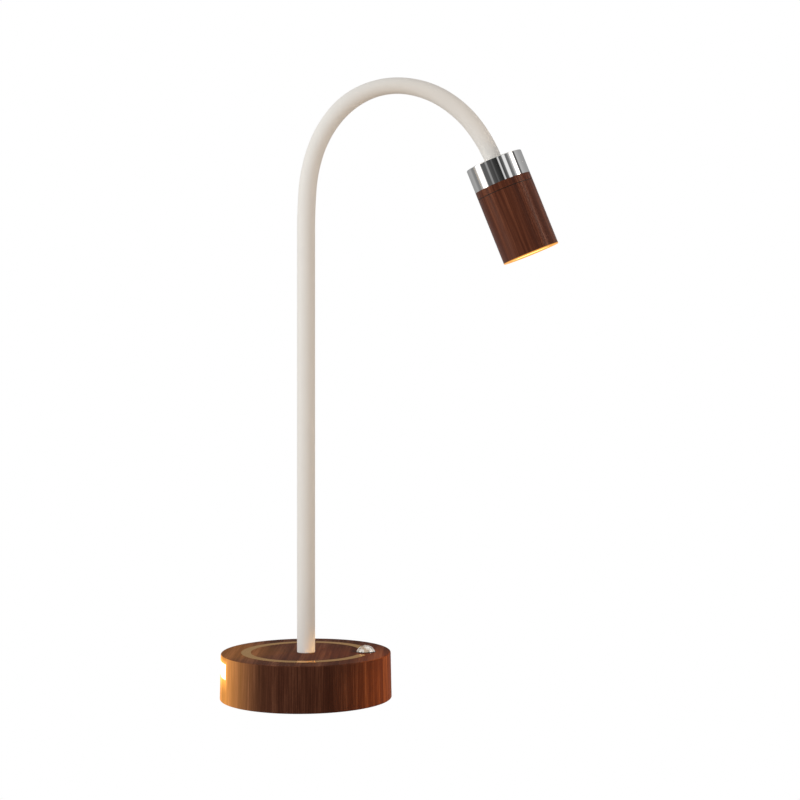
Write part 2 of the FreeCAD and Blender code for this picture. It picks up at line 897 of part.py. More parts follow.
# Rechargeable cell across the lamp behind the pole, in a cradle on the ballast
cell = doc.addObject("Part::Cylinder", "cell")
bind(cell, "Radius", cell_radius)
bind(cell, "Height", cell_length)
cell_nub = doc.addObject("Part::Cylinder", "cell_nub")
bind(cell_nub, "Radius", nub_radius)
bind(cell_nub, "Height", cell_length + nub_height)
battery = doc.addObject("Part::Fuse", "battery_cell")
battery.Base = cell
battery.Tool = cell_nub
cell_turn = Rotation(Vector(1, 0, 0), -90)
battery.Placement = Placement(
    Vector(-float(cell_from_pole), -float(cell_length) / 2, float(cell_level)), cell_turn
)
keep(battery, "battery_cell")

cradle_block = block(
    -cell_from_pole,
    0,
    ballast_top,
    (cell_radius + cradle_wall) * 2,
    cell_length - cell_overhang * 2,
    cradle_height,
)
cradle_seat = Part.makeCylinder(
    float(cell_radius + close_gap),
    float(cell_length) + past * 2,
    Vector(-float(cell_from_pole), -float(cell_length) / 2 - past, float(cell_level)),
    Vector(0, 1, 0),
)
shaped("battery_cradle", cradle_block.cut(cradle_seat))


# Leads in the base: soft wires that lie on the ballast and end at the boards
straight_turn = math.radians(0.5)


def lead(points):
    """A round wire of straight runs and arcs, each arc as large as its two runs allow.

    A point where the wire runs on straight gets no arc.
    """
    points = [Vector(*[float(number) for number in point]) for point in points]
    edges = []
    here = points[0]
    for before, corner, after in zip(points, points[1:], points[2:]):
        coming = (corner - before).normalize()
        going = (after - corner).normalize()
        reach = 0.45 * min((corner - before).Length, (after - corner).Length)
        bend_start = corner - coming * reach
        bend_end = corner + going * reach
        turn = coming.getAngle(going)
        if turn < straight_turn:
            continue
        bend_radius = reach / math.tan(turn / 2)
        inward = (going - coming).normalize()
        bend_middle = corner + inward * (bend_radius / math.cos(turn / 2) - bend_radius)
        edges.append(Part.makeLine(here, bend_start))
        edges.append(Part.Arc(bend_start, bend_middle, bend_end).toShape())
        here = bend_end
    edges.append(Part.makeLine(here, points[-1]))
    circle = Part.Wire(Part.makeCircle(float(lead_radius), points[0], points[1] - points[0]))
    return Part.Wire(edges).makePipeShell([circle], True, False)


lead_level = board_top + lead_radius + seat_gap
cell_lead = lead(
    [
        (-cell_from_pole, -cell_length / 2 - seat_gap, cell_level),
        (-cell_from_pole, -cell_length / 2 - 4, cell_level),
        (-17, -37, 9),
        (-3, -36.5, 7),
        (12, -30, 7),
        (24, -23, 8.5),
        (plug_x, -19, board_top + 2.1),
        (plug_x, -14.4, board_top + 2.1),
    ]
)
window_lead = lead(
    [
        (-light_box_inner + clear_gap, 0, window_middle - 2),
        (-47.5, 0, window_middle - 2),
        (-45, -13, 17),
        (-38, -27, 11),
        (-30, -37.5, 8),
        (-14, -42, 7.2),
        (2, -41, 7.2),
        (16, -34.5, 7.2),
        (27, -27, 8.5),
        (capacitor_x, -20, lead_level),
        (capacitor_x, -12.2, lead_level),
    ]
)
charge_lead = lead(
    [
        (0, charge_board_start + 2.5, lead_level),
        (2, 30, lead_level),
        (10, 20, lead_level),
        (14.5, 12, lead_level),
        (17.5, 8, lead_level),
        (board_from_pole + 2.3, 8, lead_level),
    ]
)
shaped("base_leads", Part.makeCompound([cell_lead, window_lead, charge_lead]))

# Pole bush: a flanged sleeve of brass, screwed up into the wood
bush = turned(
    "pole_bush",
    [
        (pole_radius + close_gap, bush_foot),
        (bush_radius, bush_foot),
        (bush_radius, ceiling - bush_flange_thickness),
        (bush_flange_radius, ceiling - bush_flange_thickness),
        (bush_flange_radius, ceiling),
        (bush_radius, ceiling),
        (bush_radius, bush_top),
        (pole_radius + close_gap, bush_top),
    ],
)
bush_hole = drill(
    bush,
    (
        bush_screw_circle * along_x(bush_screw_angle),
        bush_screw_circle * along_y(bush_screw_angle),
        ceiling - bush_flange_thickness - past,
    ),
    small_screw_radius + close_gap,
    bush_flange_thickness + past * 2,
)
round_the_axis(bush, [bush_hole], bush_screw_count)
drill(
    bush,
    (bush_screw_circle, 0, ceiling - bush_flange_thickness - past),
    stop_pin_radius + close_gap / 2,
    bush_flange_thickness + past * 2,
)
shaped(
    "stop_pin",
    rod(stop_pin_radius, stop_bottom - stop_pin_tail, ceiling - close_gap, bush_screw_circle),
)
turned(
    "thrust_washer",
    ring_outline(
        pole_radius + close_gap * 2, sleeve_radius, bush_top, bush_top + washer_thickness
    ),
)

# Spring cup under the top, with two lugs, and the screws of cup and bush
cup_place = moved(inlay_middle, 0, 0)
cup = turned(
    "button_cup",
    [
        (plunger_radius + close_gap, cup_bottom),
        (cup_radius, cup_bottom),
        (cup_radius, ceiling),
        (cup_radius - cup_wall, ceiling),
        (cup_radius - cup_wall, cup_bottom + cup_floor),
        (plunger_radius + close_gap, cup_bottom + cup_floor),
    ],
    place=cup_place,
)
for side in (1, -1):
    lug_start = cup_radius - cup_wall / 2
    lug_reach = lug_length / 2 - lug_start
    corner_y = lug_start if side > 0 else -lug_start - lug_reach
    add_box(
        cup,
        (-lug_width / 2 - lug_offset, corner_y, ceiling - lug_thickness),
        lug_width,
        lug_reach,
        lug_thickness,
    )
    drill(
        cup,
        (-lug_offset, lug_screw_spread * side, ceiling - lug_thickness - past),
        small_screw_radius + close_gap,
        lug_thickness + past * 2,
    )
bush_screw = small_screw(ceiling_screw_bite, bush_flange_thickness)
lug_screw = small_screw(ceiling_screw_bite, lug_thickness)
bush_screws = copies(
    bush_screw,
    [
        on_circle(
            bush_screw_circle,
            bush_screw_angle + 360 / bush_screw_count * number,
            ceiling - bush_flange_thickness,
        )
        for number in range(bush_screw_count)
    ],
)
lug_screws = copies(
    lug_screw,
    [
        moved(inlay_middle - lug_offset, lug_screw_spread * side, ceiling - lug_thickness)
        for side in (1, -1)
    ],
)
shaped("ceiling_screws", Part.makeCompound(bush_screws.Solids + lug_screws.Solids))

# Crystal dome: a cap of a sphere on a short skirt with a flange, and a plunger under it
dome_sphere_radius = (float(dome_radius) ** 2 + float(dome_height) ** 2) / (2 * float(dome_height))
dome_ball = Part.makeSphere(
    dome_sphere_radius,
    Vector(float(inlay_middle), 0, float(base_height + dome_height) - dome_sphere_radius),
)
dome_keep = rod(dome_radius + past, base_height, base_height + dome_height + past, inlay_middle)
dome = (
    dome_ball.common(dome_keep)
    .fuse(rod(dome_radius, dome_flange_bottom, base_height, inlay_middle))
    .fuse(rod(dome_flange_radius, dome_flange_bottom, dome_flange_top, inlay_middle))
)
shaped("dome_button", dome.removeSplitter())
turned(
    "button_plunger",
    [
        (0, plunger_foot),
        (plunger_radius, plunger_foot),
        (plunger_radius, dome_flange_bottom - plunger_head_thickness),
        (plunger_radius + plunger_head_reach, dome_flange_bottom - plunger_head_thickness),
        (plunger_radius + plunger_head_reach, dome_flange_bottom),
        (0, dome_flange_bottom),
    ],
    place=cup_place,
)

# Button spring: a round wire wound between the cup's floor and the dome's flange
spring_low = float(cup_bottom + cup_floor + spring_wire / 2 + close_gap)
spring_high = float(dome_flange_bottom - spring_wire / 2 - close_gap)
helix = Part.makeHelix(
    (spring_high - spring_low) / spring_turns, spring_high - spring_low, float(spring_radius)
)
helix.translate(Vector(0, 0, spring_low))
wire_end = Part.Circle(Vector(float(spring_radius), 0, spring_low), Vector(0, 1, 0), float(spring_wire) / 2)
spring = Part.Wire(helix).makePipeShell([Part.Wire(wire_end.toShape())], True, True)
spring.translate(Vector(float(inlay_middle), 0, 0))
shaped("button_spring", spring)

# Pole: a steel tube that turns in the bush, with a collar above it and washers and a nut below it
root_shoulder = neck_start - stem_start - root_collar
turned("pole_tube", ring_outline(pole_radius - pole_wall, pole_radius, pole_foot, root_shoulder))
turned(
    "pole_collar",
    ring_outline(
        pole_radius + close_gap / 2, sleeve_radius, collar_foot, collar_foot + collar_height
    ),
)
stop_washer = turned(
    "stop_washer", ring_outline(pole_radius + close_gap, stop_radius, stop_bottom, stop_top)
)
add_box(
    stop_washer,
    (-stop_reach, -stop_width / 2, stop_bottom),
    stop_reach - stop_radius + past,
    stop_width,
    stop_thickness,
)
turned(
    "spring_washer",
    ring_outline(pole_radius + close_gap, stop_radius, spring_washer_bottom, stop_bottom),
)


def nut(label, corner_radius, bore, low, high, place=None):
    prism = doc.addObject("Part::Prism", label + "_prism")
    prism.Polygon = 6
    bind(prism, "Circumradius", corner_radius)
    bind(prism, "Height", high - low)
    hole = doc.addObject("Part::Cylinder", label + "_hole")
    bind(hole, "Radius", bore)
    bind(hole, "Height", high - low)
    cut = doc.addObject("Part::Cut", label)
    cut.Base = prism
    cut.Tool = hole
    lift = Placement(Vector(0, 0, float(low)), Rotation())
    cut.Placement = place.multiply(lift) if place else lift
    return keep(cut, label)


nut("lock_nut", nut_corner, pole_radius + close_gap, nut_bottom, spring_washer_bottom)


# The arch: a chain of arcs in the XZ plane, each tangent to the one before
class Arc:
    def __init__(self, start, heading, turn):
        self.start = start
        self.heading = heading
        self.turn = float(turn)
        self.radius = float(link_length) / math.radians(self.turn)
        self.end = self.point(float(link_length))

    def angle(self, run):
        return self.heading + self.turn * run / float(link_length)

    def point(self, run):
        first = math.radians(self.heading)
        last = math.radians(self.angle(run))
        across = self.radius * (math.cos(first) - math.cos(last))
        up = self.radius * (math.sin(last) - math.sin(first))
        return self.start + Vector(across, 0, up)

    def frame(self, run):
        """Z along the neck at that run, and X outwards on the arch's inner side."""
        return Placement(self.point(run), Rotation(Vector(0, 1, 0), self.angle(run)))

    def edge(self, low, high):
        points = [self.point(run) for run in (low, (low + high) / 2, high)]
        return Part.Arc(*points).toShape()


arcs = []
here = Vector(0, 0, float(neck_start))
heading = 0.0
for turn in link_turns:
    arcs.append(Arc(here, heading, turn))
    here = arcs[-1].end
    heading += float(turn)
head_place = Placement(here, Rotation(Vector(0, 1, 0), heading))


def tube(path_edges, radius, start):
    """A round bar along tangent lines and arcs. Start is the frame of its first end."""
    circle = Part.Wire(Part.makeCircle(float(radius), start.Base, start.Rotation.multVec(Vector(0, 0, 1))))
    return Part.Wire(path_edges).makePipeShell([circle], True, False)


def ball_end(frame):
    """A stem and a ball about the frame's origin, which is the joint, with a flared passage."""
    stem = Part.makeCylinder(
        float(stem_radius), float(stem_start) + overlap, Vector(0, 0, -float(stem_start) - overlap)
    )
    solid = Part.makeSphere(float(ball_radius)).fuse(stem)
    flare = Part.makeCone(
        float(wire_bore), float(flare_radius), float(ball_radius), Vector(0, 0, 0)
    )
    passage = rod(wire_bore, -stem_start - past, ball_radius)
    solid = solid.cut(flare).cut(passage)
    solid.Placement = frame
    return solid


def socket_end(frame):
    """What a socket takes out of the piece that grips the ball."""
    hollow = Part.makeSphere(float(ball_radius + close_gap))
    hollow.Placement = frame
    return hollow


def neck_piece(arc, low, high, foot):
    """The body of a link: a bar along its arc, with a straight lip or plug of that length at its foot."""
    frame = arc.frame(low)
    bar = tube([arc.edge(low, high)], link_radius, frame)
    straight = Part.makeCylinder(float(link_radius), float(foot), Vector(0, 0, -float(foot)))
    straight.Placement = frame
    return bar.fuse(straight)


def passage_through(arc, low, high):
    return tube([arc.edge(low, high)], wire_bore, arc.frame(low))


full = float(link_length)
shoulder_run = full - float(stem_start)

# Neck root: pressed into the top of the pole, it carries the first ball
root_frame = Placement(Vector(0, 0, float(neck_start)), Rotation())
root_low = root_shoulder - root_plug_length
root = (
    rod(pole_radius - pole_wall - close_gap, root_low, root_shoulder)
    .fuse(rod(link_radius, root_shoulder, neck_start - stem_start))
    .cut(rod(wire_bore, root_low - past, neck_start))
    .fuse(ball_end(root_frame))
)
shaped("neck_root", root.removeSplitter())

# Seven links, and the end piece, whose thread goes through the cap
for number, arc in enumerate(arcs[:-1], 1):
    link = (
        neck_piece(arc, 0, shoulder_run, lip_reach)
        .cut(socket_end(arc.frame(0)))
        .cut(passage_through(arc, 0, shoulder_run))
        .fuse(ball_end(arc.frame(full)))
    )
    shaped(f"neck_link_{number}", link.removeSplitter())

last = arcs[-1]
shoulder = rod(shoulder_radius, -shoulder_thickness, -close_gap)
thread = rod(thread_radius, 0, thread_length).cut(rod(wire_bore, 0, thread_length))
for item in (shoulder, thread):
    item.Placement = head_place
neck_end = (
    neck_piece(last, 0, full, lip_reach)
    .fuse(shoulder)
    .cut(socket_end(last.frame(0)))
    .cut(passage_through(last, 0, full))
    .fuse(thread)
)
shaped("neck_end", neck_end.removeSplitter())

# Sleeve: one white tube over the pole and the neck, from the base to the cap
sleeve_start = Placement(Vector(0, 0, float(sleeve_foot)), Rotation())
sleeve_stop = full - float(clear_gap)


def neck_route(low, last_run):
    upright = Part.makeLine(Vector(0, 0, float(low)), Vector(0, 0, float(neck_start)))
    edges = [upright] + [arc.edge(0, full) for arc in arcs[:-1]] + [last.edge(0, last_run)]
    return edges


sleeve_route = neck_route(sleeve_foot, sleeve_stop)
sleeve_outside = tube(sleeve_route, sleeve_radius, sleeve_start)
foot_edges = [
    edge
    for edge in sleeve_outside.Edges
    if isinstance(edge.Curve, Part.Circle) and abs(edge.CenterOfMass.z - float(sleeve_foot)) < 1e-4
]
sleeve_outside = sleeve_outside.makeFillet(float(sleeve_foot_round), foot_edges)
sleeve_inside = tube(sleeve_route, sleeve_radius - sleeve_wall, sleeve_start)
arm_sleeve = sleeve_outside.cut(sleeve_inside)
shaped("arm_sleeve", arm_sleeve)
sleeve_length = sum(edge.Length for edge in sleeve_route)
sleeve_section = math.pi * (float(sleeve_radius) ** 2 - float(sleeve_radius - sleeve_wall) ** 2)
print("sleeve volume against section times length", arm_sleeve.Volume / (sleeve_section * sleeve_length))

# Lamp cable: from the base through the pole and the neck to the light in the head
cable_foot = pole_foot - cable_tail
cable_route = neck_route(cable_foot, full)
cable_end = head_place.multVec(Vector(0, 0, float(sink_level - fin_height - clear_gap)))
cable_route.append(Part.makeLine(here, cable_end))
shaped("lamp_cable", tube(cable_route, cable_radius, Placement(Vector(0, 0, float(cable_foot)), Rotation())))

# Spot head, outside: chrome cap, wood collar, dark seam and wood shade on one axis
cap = turned(
    "chrome_cap",
    [
        (thread_radius + seat_gap, 0),
        (head_radius, 0),
        (head_radius, cap_length),
        (head_radius - cap_wall, cap_length),
        (head_radius - cap_wall, cap_plate),
        (thread_radius + seat_gap, cap_plate),
    ],
    place=head_place,
)
rounded(cap, cap_round, (head_radius, 0))
turned("wood_collar", ring_outline(wood_inner, head_radius, cap_length, seam_start), place=head_place)
turned(
    "seam_ring",
    ring_outline(wood_inner, head_radius - seam_depth, seam_start, shade_start),
    place=head_place,
)
shade = turned("wood_shade", ring_outline(wood_inner, head_radius, shade_start, mouth), place=head_place)
rounded(shade, shade_round, (head_radius, mouth), (wood_inner, mouth))

# Spot head, inside: an aluminium core clamped under the cap by a washer and a nut
turned(
    "head_core",
    [
        (thread_radius + seat_gap, cap_plate),
        (head_radius - cap_wall - seat_gap, cap_plate),
        (head_radius - cap_wall - seat_gap, cap_length),
        (core_radius, cap_length),
        (core_radius, core_length),
        (sink_radius + seat_gap, core_length),
        (sink_radius + seat_gap, sink_level),
        (core_bore, sink_level),
        (core_bore, deck_bottom),
        (thread_radius + seat_gap, deck_bottom),
    ],
    place=head_place,
)
turned(
    "head_washer",
    ring_outline(thread_radius + seat_gap, head_washer_radius, deck_bottom, washer_bottom),
    place=head_place,
)
nut(
    "head_nut",
    head_nut_corner,
    thread_radius + close_gap,
    washer_bottom,
    washer_bottom + head_nut_height,
    head_place,
)

# Heat sink: a plate with straight fins, cut to fit the core's bore
sink = rod(sink_radius, sink_level, sink_bottom)
fin_room = rod(core_bore - seat_gap, sink_level - fin_height, sink_level)
for number in range(-fin_pairs, fin_pairs + 1):
    fin = block(
        0, fin_pitch * number, sink_level - fin_height, core_bore * 2, fin_thickness, fin_height
    )
    sink = sink.fuse(fin.common(fin_room))
sink = sink.removeSplitter()
sink.Placement = head_place
shaped("heat_sink", sink)
turned(
    "chip_board",
    [
        (0, sink_bottom),
        (chip_board_radius, sink_bottom),
        (chip_board_radius, chip_board_bottom),
        (0, chip_board_bottom),
    ],
    place=head_place,
)
turned(
    "light_chip",
    [
        (0, chip_board_bottom),
        (chip_radius, chip_board_bottom),
        (chip_radius, chip_bottom),
        (0, chip_bottom),
    ],
    place=head_place,
)

# Reflector cone round the chip, lens below it, ring that keeps the lens in, and liner of the mouth
cone_small = chip_radius + seat_gap
cone_large = sink_radius - seat_gap - reflector_wall
turned(
    "reflector",
    [
        (cone_small, chip_board_bottom),
        (cone_small + reflector_wall, chip_board_bottom),
        (cone_large + reflector_wall, core_length),
        (core_radius, core_length),
        (core_radius, reflector_flange),
        (cone_large, reflector_flange),
    ],
    place=head_place,
)
turned(
    "lens",
    [
        (0, reflector_flange),
        (core_radius, reflector_flange),
        (core_radius, lens_bottom),
        (0, lens_bottom),
    ],
    place=head_place,
)
turned(
    "lens_ring",
    ring_outline(core_radius - lens_ring_wall, core_radius, lens_bottom, ring_bottom),
    place=head_place,
)
turned(
    "shade_liner",
    ring_outline(core_radius - liner_wall, core_radius, ring_bottom, liner_end),
    place=head_place,
)

# Every object has to have worked before anything is written
doc.recompute()
troubled = [item.Label for item in doc.Objects if {"Invalid", "Error"} & set(item.State)]
unsound = [item.Label for item in finished if item.Shape.isNull() or not item.Shape.isValid()]
if troubled or unsound:
    raise RuntimeError(f"failed features: {troubled}, unsound shapes: {unsound}")

os.makedirs("parts", exist_ok=True)
for item in finished:
    item.Shape.exportStep(f"parts/{item.Label}.step")
box = Part.makeCompound([item.Shape for item in finished]).BoundBox
print(len(finished), "pieces", round(box.XLength, 1), round(box.YLength, 1), round(box.ZLength, 1))
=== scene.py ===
# %% [markdown]
# A cordless desk lamp stands on a round walnut base. A white arm rises from the middle of the base and
# arches over to a small spot head of chrome and walnut. The construction is already made as solids, so
# the first step is to load them as a fixed frame. Everything below dresses that frame: it gives every
# solid its finish, and models anew the few pieces that bend or sparkle.

# %% Load the frame
import json
import math

import bmesh
import bpy
from mathutils import Matrix, Vector


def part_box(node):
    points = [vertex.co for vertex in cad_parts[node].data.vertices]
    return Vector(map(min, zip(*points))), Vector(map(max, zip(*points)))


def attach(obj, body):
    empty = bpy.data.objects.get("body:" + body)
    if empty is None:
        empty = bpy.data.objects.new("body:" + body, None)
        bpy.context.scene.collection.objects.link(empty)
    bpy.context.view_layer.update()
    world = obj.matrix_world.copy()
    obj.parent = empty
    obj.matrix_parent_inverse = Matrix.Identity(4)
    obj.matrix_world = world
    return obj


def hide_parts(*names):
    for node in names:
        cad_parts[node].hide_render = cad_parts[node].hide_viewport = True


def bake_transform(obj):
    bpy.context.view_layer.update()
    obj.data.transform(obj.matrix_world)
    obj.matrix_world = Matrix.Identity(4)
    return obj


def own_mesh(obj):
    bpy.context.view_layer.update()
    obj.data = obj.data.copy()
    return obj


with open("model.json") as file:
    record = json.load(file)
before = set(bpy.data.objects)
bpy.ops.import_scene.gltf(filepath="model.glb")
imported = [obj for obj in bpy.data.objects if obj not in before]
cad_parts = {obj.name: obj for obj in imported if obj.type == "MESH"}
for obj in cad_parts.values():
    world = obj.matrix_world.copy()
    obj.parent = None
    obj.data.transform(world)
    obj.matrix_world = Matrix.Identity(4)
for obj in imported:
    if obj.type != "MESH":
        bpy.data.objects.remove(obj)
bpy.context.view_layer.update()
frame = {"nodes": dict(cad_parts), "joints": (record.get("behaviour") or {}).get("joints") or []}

mm = 0.001
nodes = frame["nodes"]
joints = {joint["name"]: joint for joint in frame["joints"]}
print("solids:", len(nodes), "joints:", len(joints))

# %% [markdown]
# The camera comes first, because every later choice is judged through it. The photograph was taken from
# far away with a long lens, level with the middle of the pole: the rim of the base shows as a flat
# ellipse, and the pole stays upright. A level camera with a shifted lens gives exactly that. The shift
# says where the lens's axis meets the picture, counted in the picture's own pixels.

# %% Camera
picture_width = 800
axis_across = 455.5
axis_down = 357

camera_data = bpy.data.cameras.new("camera")
camera_data.sensor_width = 36
camera_data.lens = 80.06
camera_data.shift_x = (picture_width / 2 - axis_across) / picture_width
camera_data.shift_y = (axis_down - picture_width / 2) / picture_width
camera = bpy.data.objects.new("camera", camera_data)
camera.location = (0.106, -1.262, 0.242)
camera.rotation_euler = (math.radians(90), 0, 0)
bpy.context.scene.collection.objects.link(camera)
bpy.context.scene.camera = camera
bpy.context.scene.view_settings.view_transform = "Standard"
print("camera shift:", round(camera_data.shift_x, 4), round(camera_data.shift_y, 4))

# %% [markdown]
# A finish is a small tree of shader nodes. Written node by node it is hard to read, so two small
# classes make it read like sums. A Value stands for one socket, and arithmetic on it adds Math nodes.
# A Shader adds every other node with one method, which takes the node's type, its settings, and what
# goes into its sockets.

# %% Shader sums
class Value:
    """An output socket. Sums with it add Math nodes to its shader."""

    def __init__(self, shader, socket):
        self.shader = shader
        self.socket = socket

    def math(self, operation, *others):
        terms = dict(enumerate((self, *others)))
        return self.shader.node("ShaderNodeMath", {"operation": operation}, terms)

    def __add__(self, other):
        return self.math("ADD", other)

    __radd__ = __add__

    def __mul__(self, other):
        return self.math("MULTIPLY", other)

    __rmul__ = __mul__

    def __sub__(self, other):
        return self.math("SUBTRACT", other)

    def __rsub__(self, other):
        return (self - other) * -1

    def __truediv__(self, other):
        return self.math("DIVIDE", other)

    def __pow__(self, other):
        return self.math("POWER", other)


class Shader:
    """A tree of shader nodes, emptied, with one method that adds any node."""

    def __init__(self, tree):
        self.nodes = tree.nodes
        self.links = tree.links
        self.nodes.clear()

    def node(self, kind, settings=None, sockets=None, output=0):
        made = self.nodes.new(kind)
        for name, setting in (settings or {}).items():
            if name == "stops":
                self.set_stops(made.color_ramp, setting)
            else:
                setattr(made, name, setting)
        for name, value in (sockets or {}).items():
            if isinstance(value, Value):
                self.links.new(value.socket, made.inputs[name])
            else:
                made.inputs[name].default_value = value
        return Value(self, made.outputs[output]) if made.outputs else None

    def set_stops(self, ramp, stops):
        while len(ramp.elements) < len(stops):
            ramp.elements.new(1)
        for element, (place, colour) in zip(ramp.elements, stops):
            element.position = place
            element.color = colour if len(colour) == 4 else (*colour, 1)

    def place(self):
        return self.node("ShaderNodeTexCoord", output="Object")

    def axes(self, vector):
        split = self.node("ShaderNodeSeparateXYZ", sockets={"Vector": vector})
        return [Value(self, socket) for socket in split.socket.node.outputs]

    def mapped(self, vector, scale=(1, 1, 1), turn=(0, 0, 0), move=(0, 0, 0)):
        sockets = {"Vector": vector, "Location": move, "Rotation": turn, "Scale": scale}
        return self.node("ShaderNodeMapping", sockets=sockets)

    def noise(self, vector, detail=2, roughness=0.5, distortion=0):
        sockets = {"Vector": vector, "Scale": 1, "Detail": detail, "Roughness": roughness}
        sockets["Distortion"] = distortion
        return self.node("ShaderNodeTexNoise", sockets=sockets)

    def ramp(self, value, stops, interpolation="LINEAR"):
        made = self.node("ShaderNodeValToRGB", {"stops": stops}, {"Fac": value})
        made.socket.node.color_ramp.interpolation = interpolation
        return made

    def mix(self, share, first, second, blend_type="MIX"):
        first, second = [
            colour if isinstance(colour, Value) or len(colour) == 4 else (*colour, 1)
            for colour in (first, second)
        ]
        settings = {"data_type": "RGBA", "blend_type": blend_type}
        return self.node("ShaderNodeMix", settings, {0: share, 6: first, 7: second}, 2)

    def scaled(self, colour, share):
        settings = {"operation": "SCALE"}
        colour = colour if isinstance(colour, Value) else colour[:3]
        return self.node("ShaderNodeVectorMath", settings, {0: colour, "Scale": share})

    def fade(self, value, start, end):
        """0 where the value is before start, 1 past end, smooth between."""
        settings = {"interpolation_type": "SMOOTHSTEP"}
        return self.node("ShaderNodeMapRange", settings, {0: value, 1: start, 2: end, 3: 0, 4: 1})

    def bump(self, height, depth):
        return self.node("ShaderNodeBump", sockets={"Height": height, "Distance": depth})


def finish(name):
    """A new material and its emptied shader."""
    material = bpy.data.materials.new(name)
    material.use_nodes = True
    return material, Shader(material.node_tree)


def principled(shader, **sockets):
    """Ends a shader in a Principled surface. Underscores in the names stand for spaces."""
    named = {name.replace("_", " "): value for name, value in sockets.items()}
    surface = shader.node("ShaderNodeBsdfPrincipled", sockets=named)
    shader.node("ShaderNodeOutputMaterial", sockets={"Surface": surface})


def dress(material, *names):
    """Gives solids of the frame their finish."""
    for name in names:
        nodes[name].data.materials.clear()
        nodes[name].data.materials.append(material)


print("helper classes:", Value.__name__, Shader.__name__)

# %% [markdown]
# Walnut is dark brown with fine darker lines along the grain, broader bands of lighter wood, and short
# open pores. Three noises give these three sizes. Each is squeezed across the grain and long along it,
# and their sum is looked up in a ramp of browns. The grain could be an image, but noise in the object's
# own space runs through the solid like real grain, so the side of the drum and the head stay seamless.

# %% Walnut grain
walnut_browns = [
    (0.0, (0.036, 0.0115, 0.0062)),
    (0.32, (0.052, 0.0170, 0.0095)),
    (0.50, (0.070, 0.0240, 0.0135)),
    (0.68, (0.104, 0.0390, 0.0220)),
    (1.0, (0.178, 0.0760, 0.0430)),
]


def walnut_grain(shader, along, line_size, band_size, run):
    """Tone 0 to 1 of wood whose grain runs along Z of the given coordinates, and its pores."""
    lines = shader.mapped(along, scale=(1 / line_size, 1 / line_size, 1 / run))
    bands = shader.mapped(along, scale=(1 / band_size, 1 / band_size, 0.25 / run))
    pores = shader.mapped(along, scale=(3 / line_size, 3 / line_size, 10 / run))
    line_tone = shader.noise(lines, detail=3, roughness=0.62)
    band_tone = shader.noise(bands, detail=2, roughness=0.5, distortion=0.4)
    pore_tone = shader.noise(pores, detail=1)
    pore_mask = shader.fade(pore_tone, 0.62, 0.70)
    tone = (line_tone - 0.5) * 1.15 + (band_tone - 0.5) * 1.25 + 0.5
    return tone - pore_mask * 0.12, pore_mask


print("browns in the walnut:", len(walnut_browns))

# %% [markdown]
# The drum of the base is cut so that its grain stands upright on the side and lies across the top. One
# mask on height swaps the two, and also makes the top lighter than the side: painted light from above.
# Around the lit window the wood glows. That glow is painted light: emission in the wood's finish that
# takes the wood's own colour and stands in for the window's light falling on the wood. It has three
# parts: a bright line at the window's edge, a yellow spread beside it, and a faint one that reaches
# further and keeps the wood's red.

# %% Base wood
base_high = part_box("base_housing")[1]
window_low, window_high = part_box("window_diffuser")
base_radius = base_high.x
top_level = base_high.z
window_half_angle = math.asin(window_high.y / base_radius)
glow_reach = 40 * mm
faint_reach = 55 * mm
edge_reach = 4.5 * mm
brightest = 6
glow_on_top = 0.18

base_wood, shader = finish("walnut_base")
place = shader.place()
x, y, z = shader.axes(place)
side_tone, side_pores = walnut_grain(shader, place, 0.9 * mm, 6 * mm, 60 * mm)
top_along = shader.mapped(place, turn=(math.radians(90), 0, math.radians(-9)))
top_tone, top_pores = walnut_grain(shader, top_along, 1.6 * mm, 8 * mm, 70 * mm)
is_top = shader.fade(z, top_level - 0.5 * mm, top_level - 0.2 * mm)
# The top's tone is raised and its browns made 28 % lighter than the side's: painted light from above.
tone = side_tone + (top_tone * 0.8 + 0.14 - side_tone) * is_top
browns = shader.scaled(shader.ramp(tone, walnut_browns), is_top * 0.28 + 1)
pores = side_pores + (top_pores - side_pores) * is_top

# Painted light: the window's glow on the wood, laid on as emission in the wood's own colour.
round_angle = y.math("ARCTAN2", x * -1).math("ABSOLUTE")
beside = ((round_angle - window_half_angle) * base_radius).math("MAXIMUM", 0)
above = (z - window_high.z).math("MAXIMUM", 0)
below = (window_low.z - z).math("MAXIMUM", 0)
away = (beside * beside + above * above + below * below * 0.15).math("SQRT")
spread = (1 - beside / glow_reach).math("MAXIMUM", 0) ** 1.25
faint_spread = (1 - beside / faint_reach).math("MAXIMUM", 0)
edge_glow = (1 - away / edge_reach).math("MAXIMUM", 0) ** 2
facing = shader.fade(x * -1, 0.0, 0.9 * base_radius)
painted_glow_on_wood = (spread * 3.3 + faint_spread * 0.7) * (1 - is_top * (1 - glow_on_top))
painted_glow = (painted_glow_on_wood + edge_glow * brightest) * facing
lit_wood = shader.mix(0.12, browns, (0.9, 0.45, 0.14))
tint = shader.mix(spread, (1.0, 0.95, 0.90), (1.0, 0.90, 0.42))
lit_wood = shader.mix(1.0, lit_wood, tint, "MULTIPLY")
principled(
    shader,
    Base_Color=browns,
    Roughness=0.66 + tone * 0.10 + pores * 0.12,
    Specular_IOR_Level=0.06,
    Normal=shader.bump(tone * 0.4 - pores, 0.05 * mm),
    Emission_Color=shader.scaled(lit_wood, painted_glow / brightest),
    Emission_Strength=brightest,
)
dress(base_wood, "base_housing")
print("window half angle:", round(math.degrees(window_half_angle), 1))

# %% [markdown]
# The head is turned from the same walnut, with its grain along the head's own axis, which leans. The
# joints of the frame say how it leans: each link of the neck is an arc, so from one joint to the next
# the chord leans by the heading so far plus half the arc's turn. Walking up the joints gives every
# heading, and the last one is the head's. The collar and the shade share one finish, so that the grain
# runs on from one to the other.

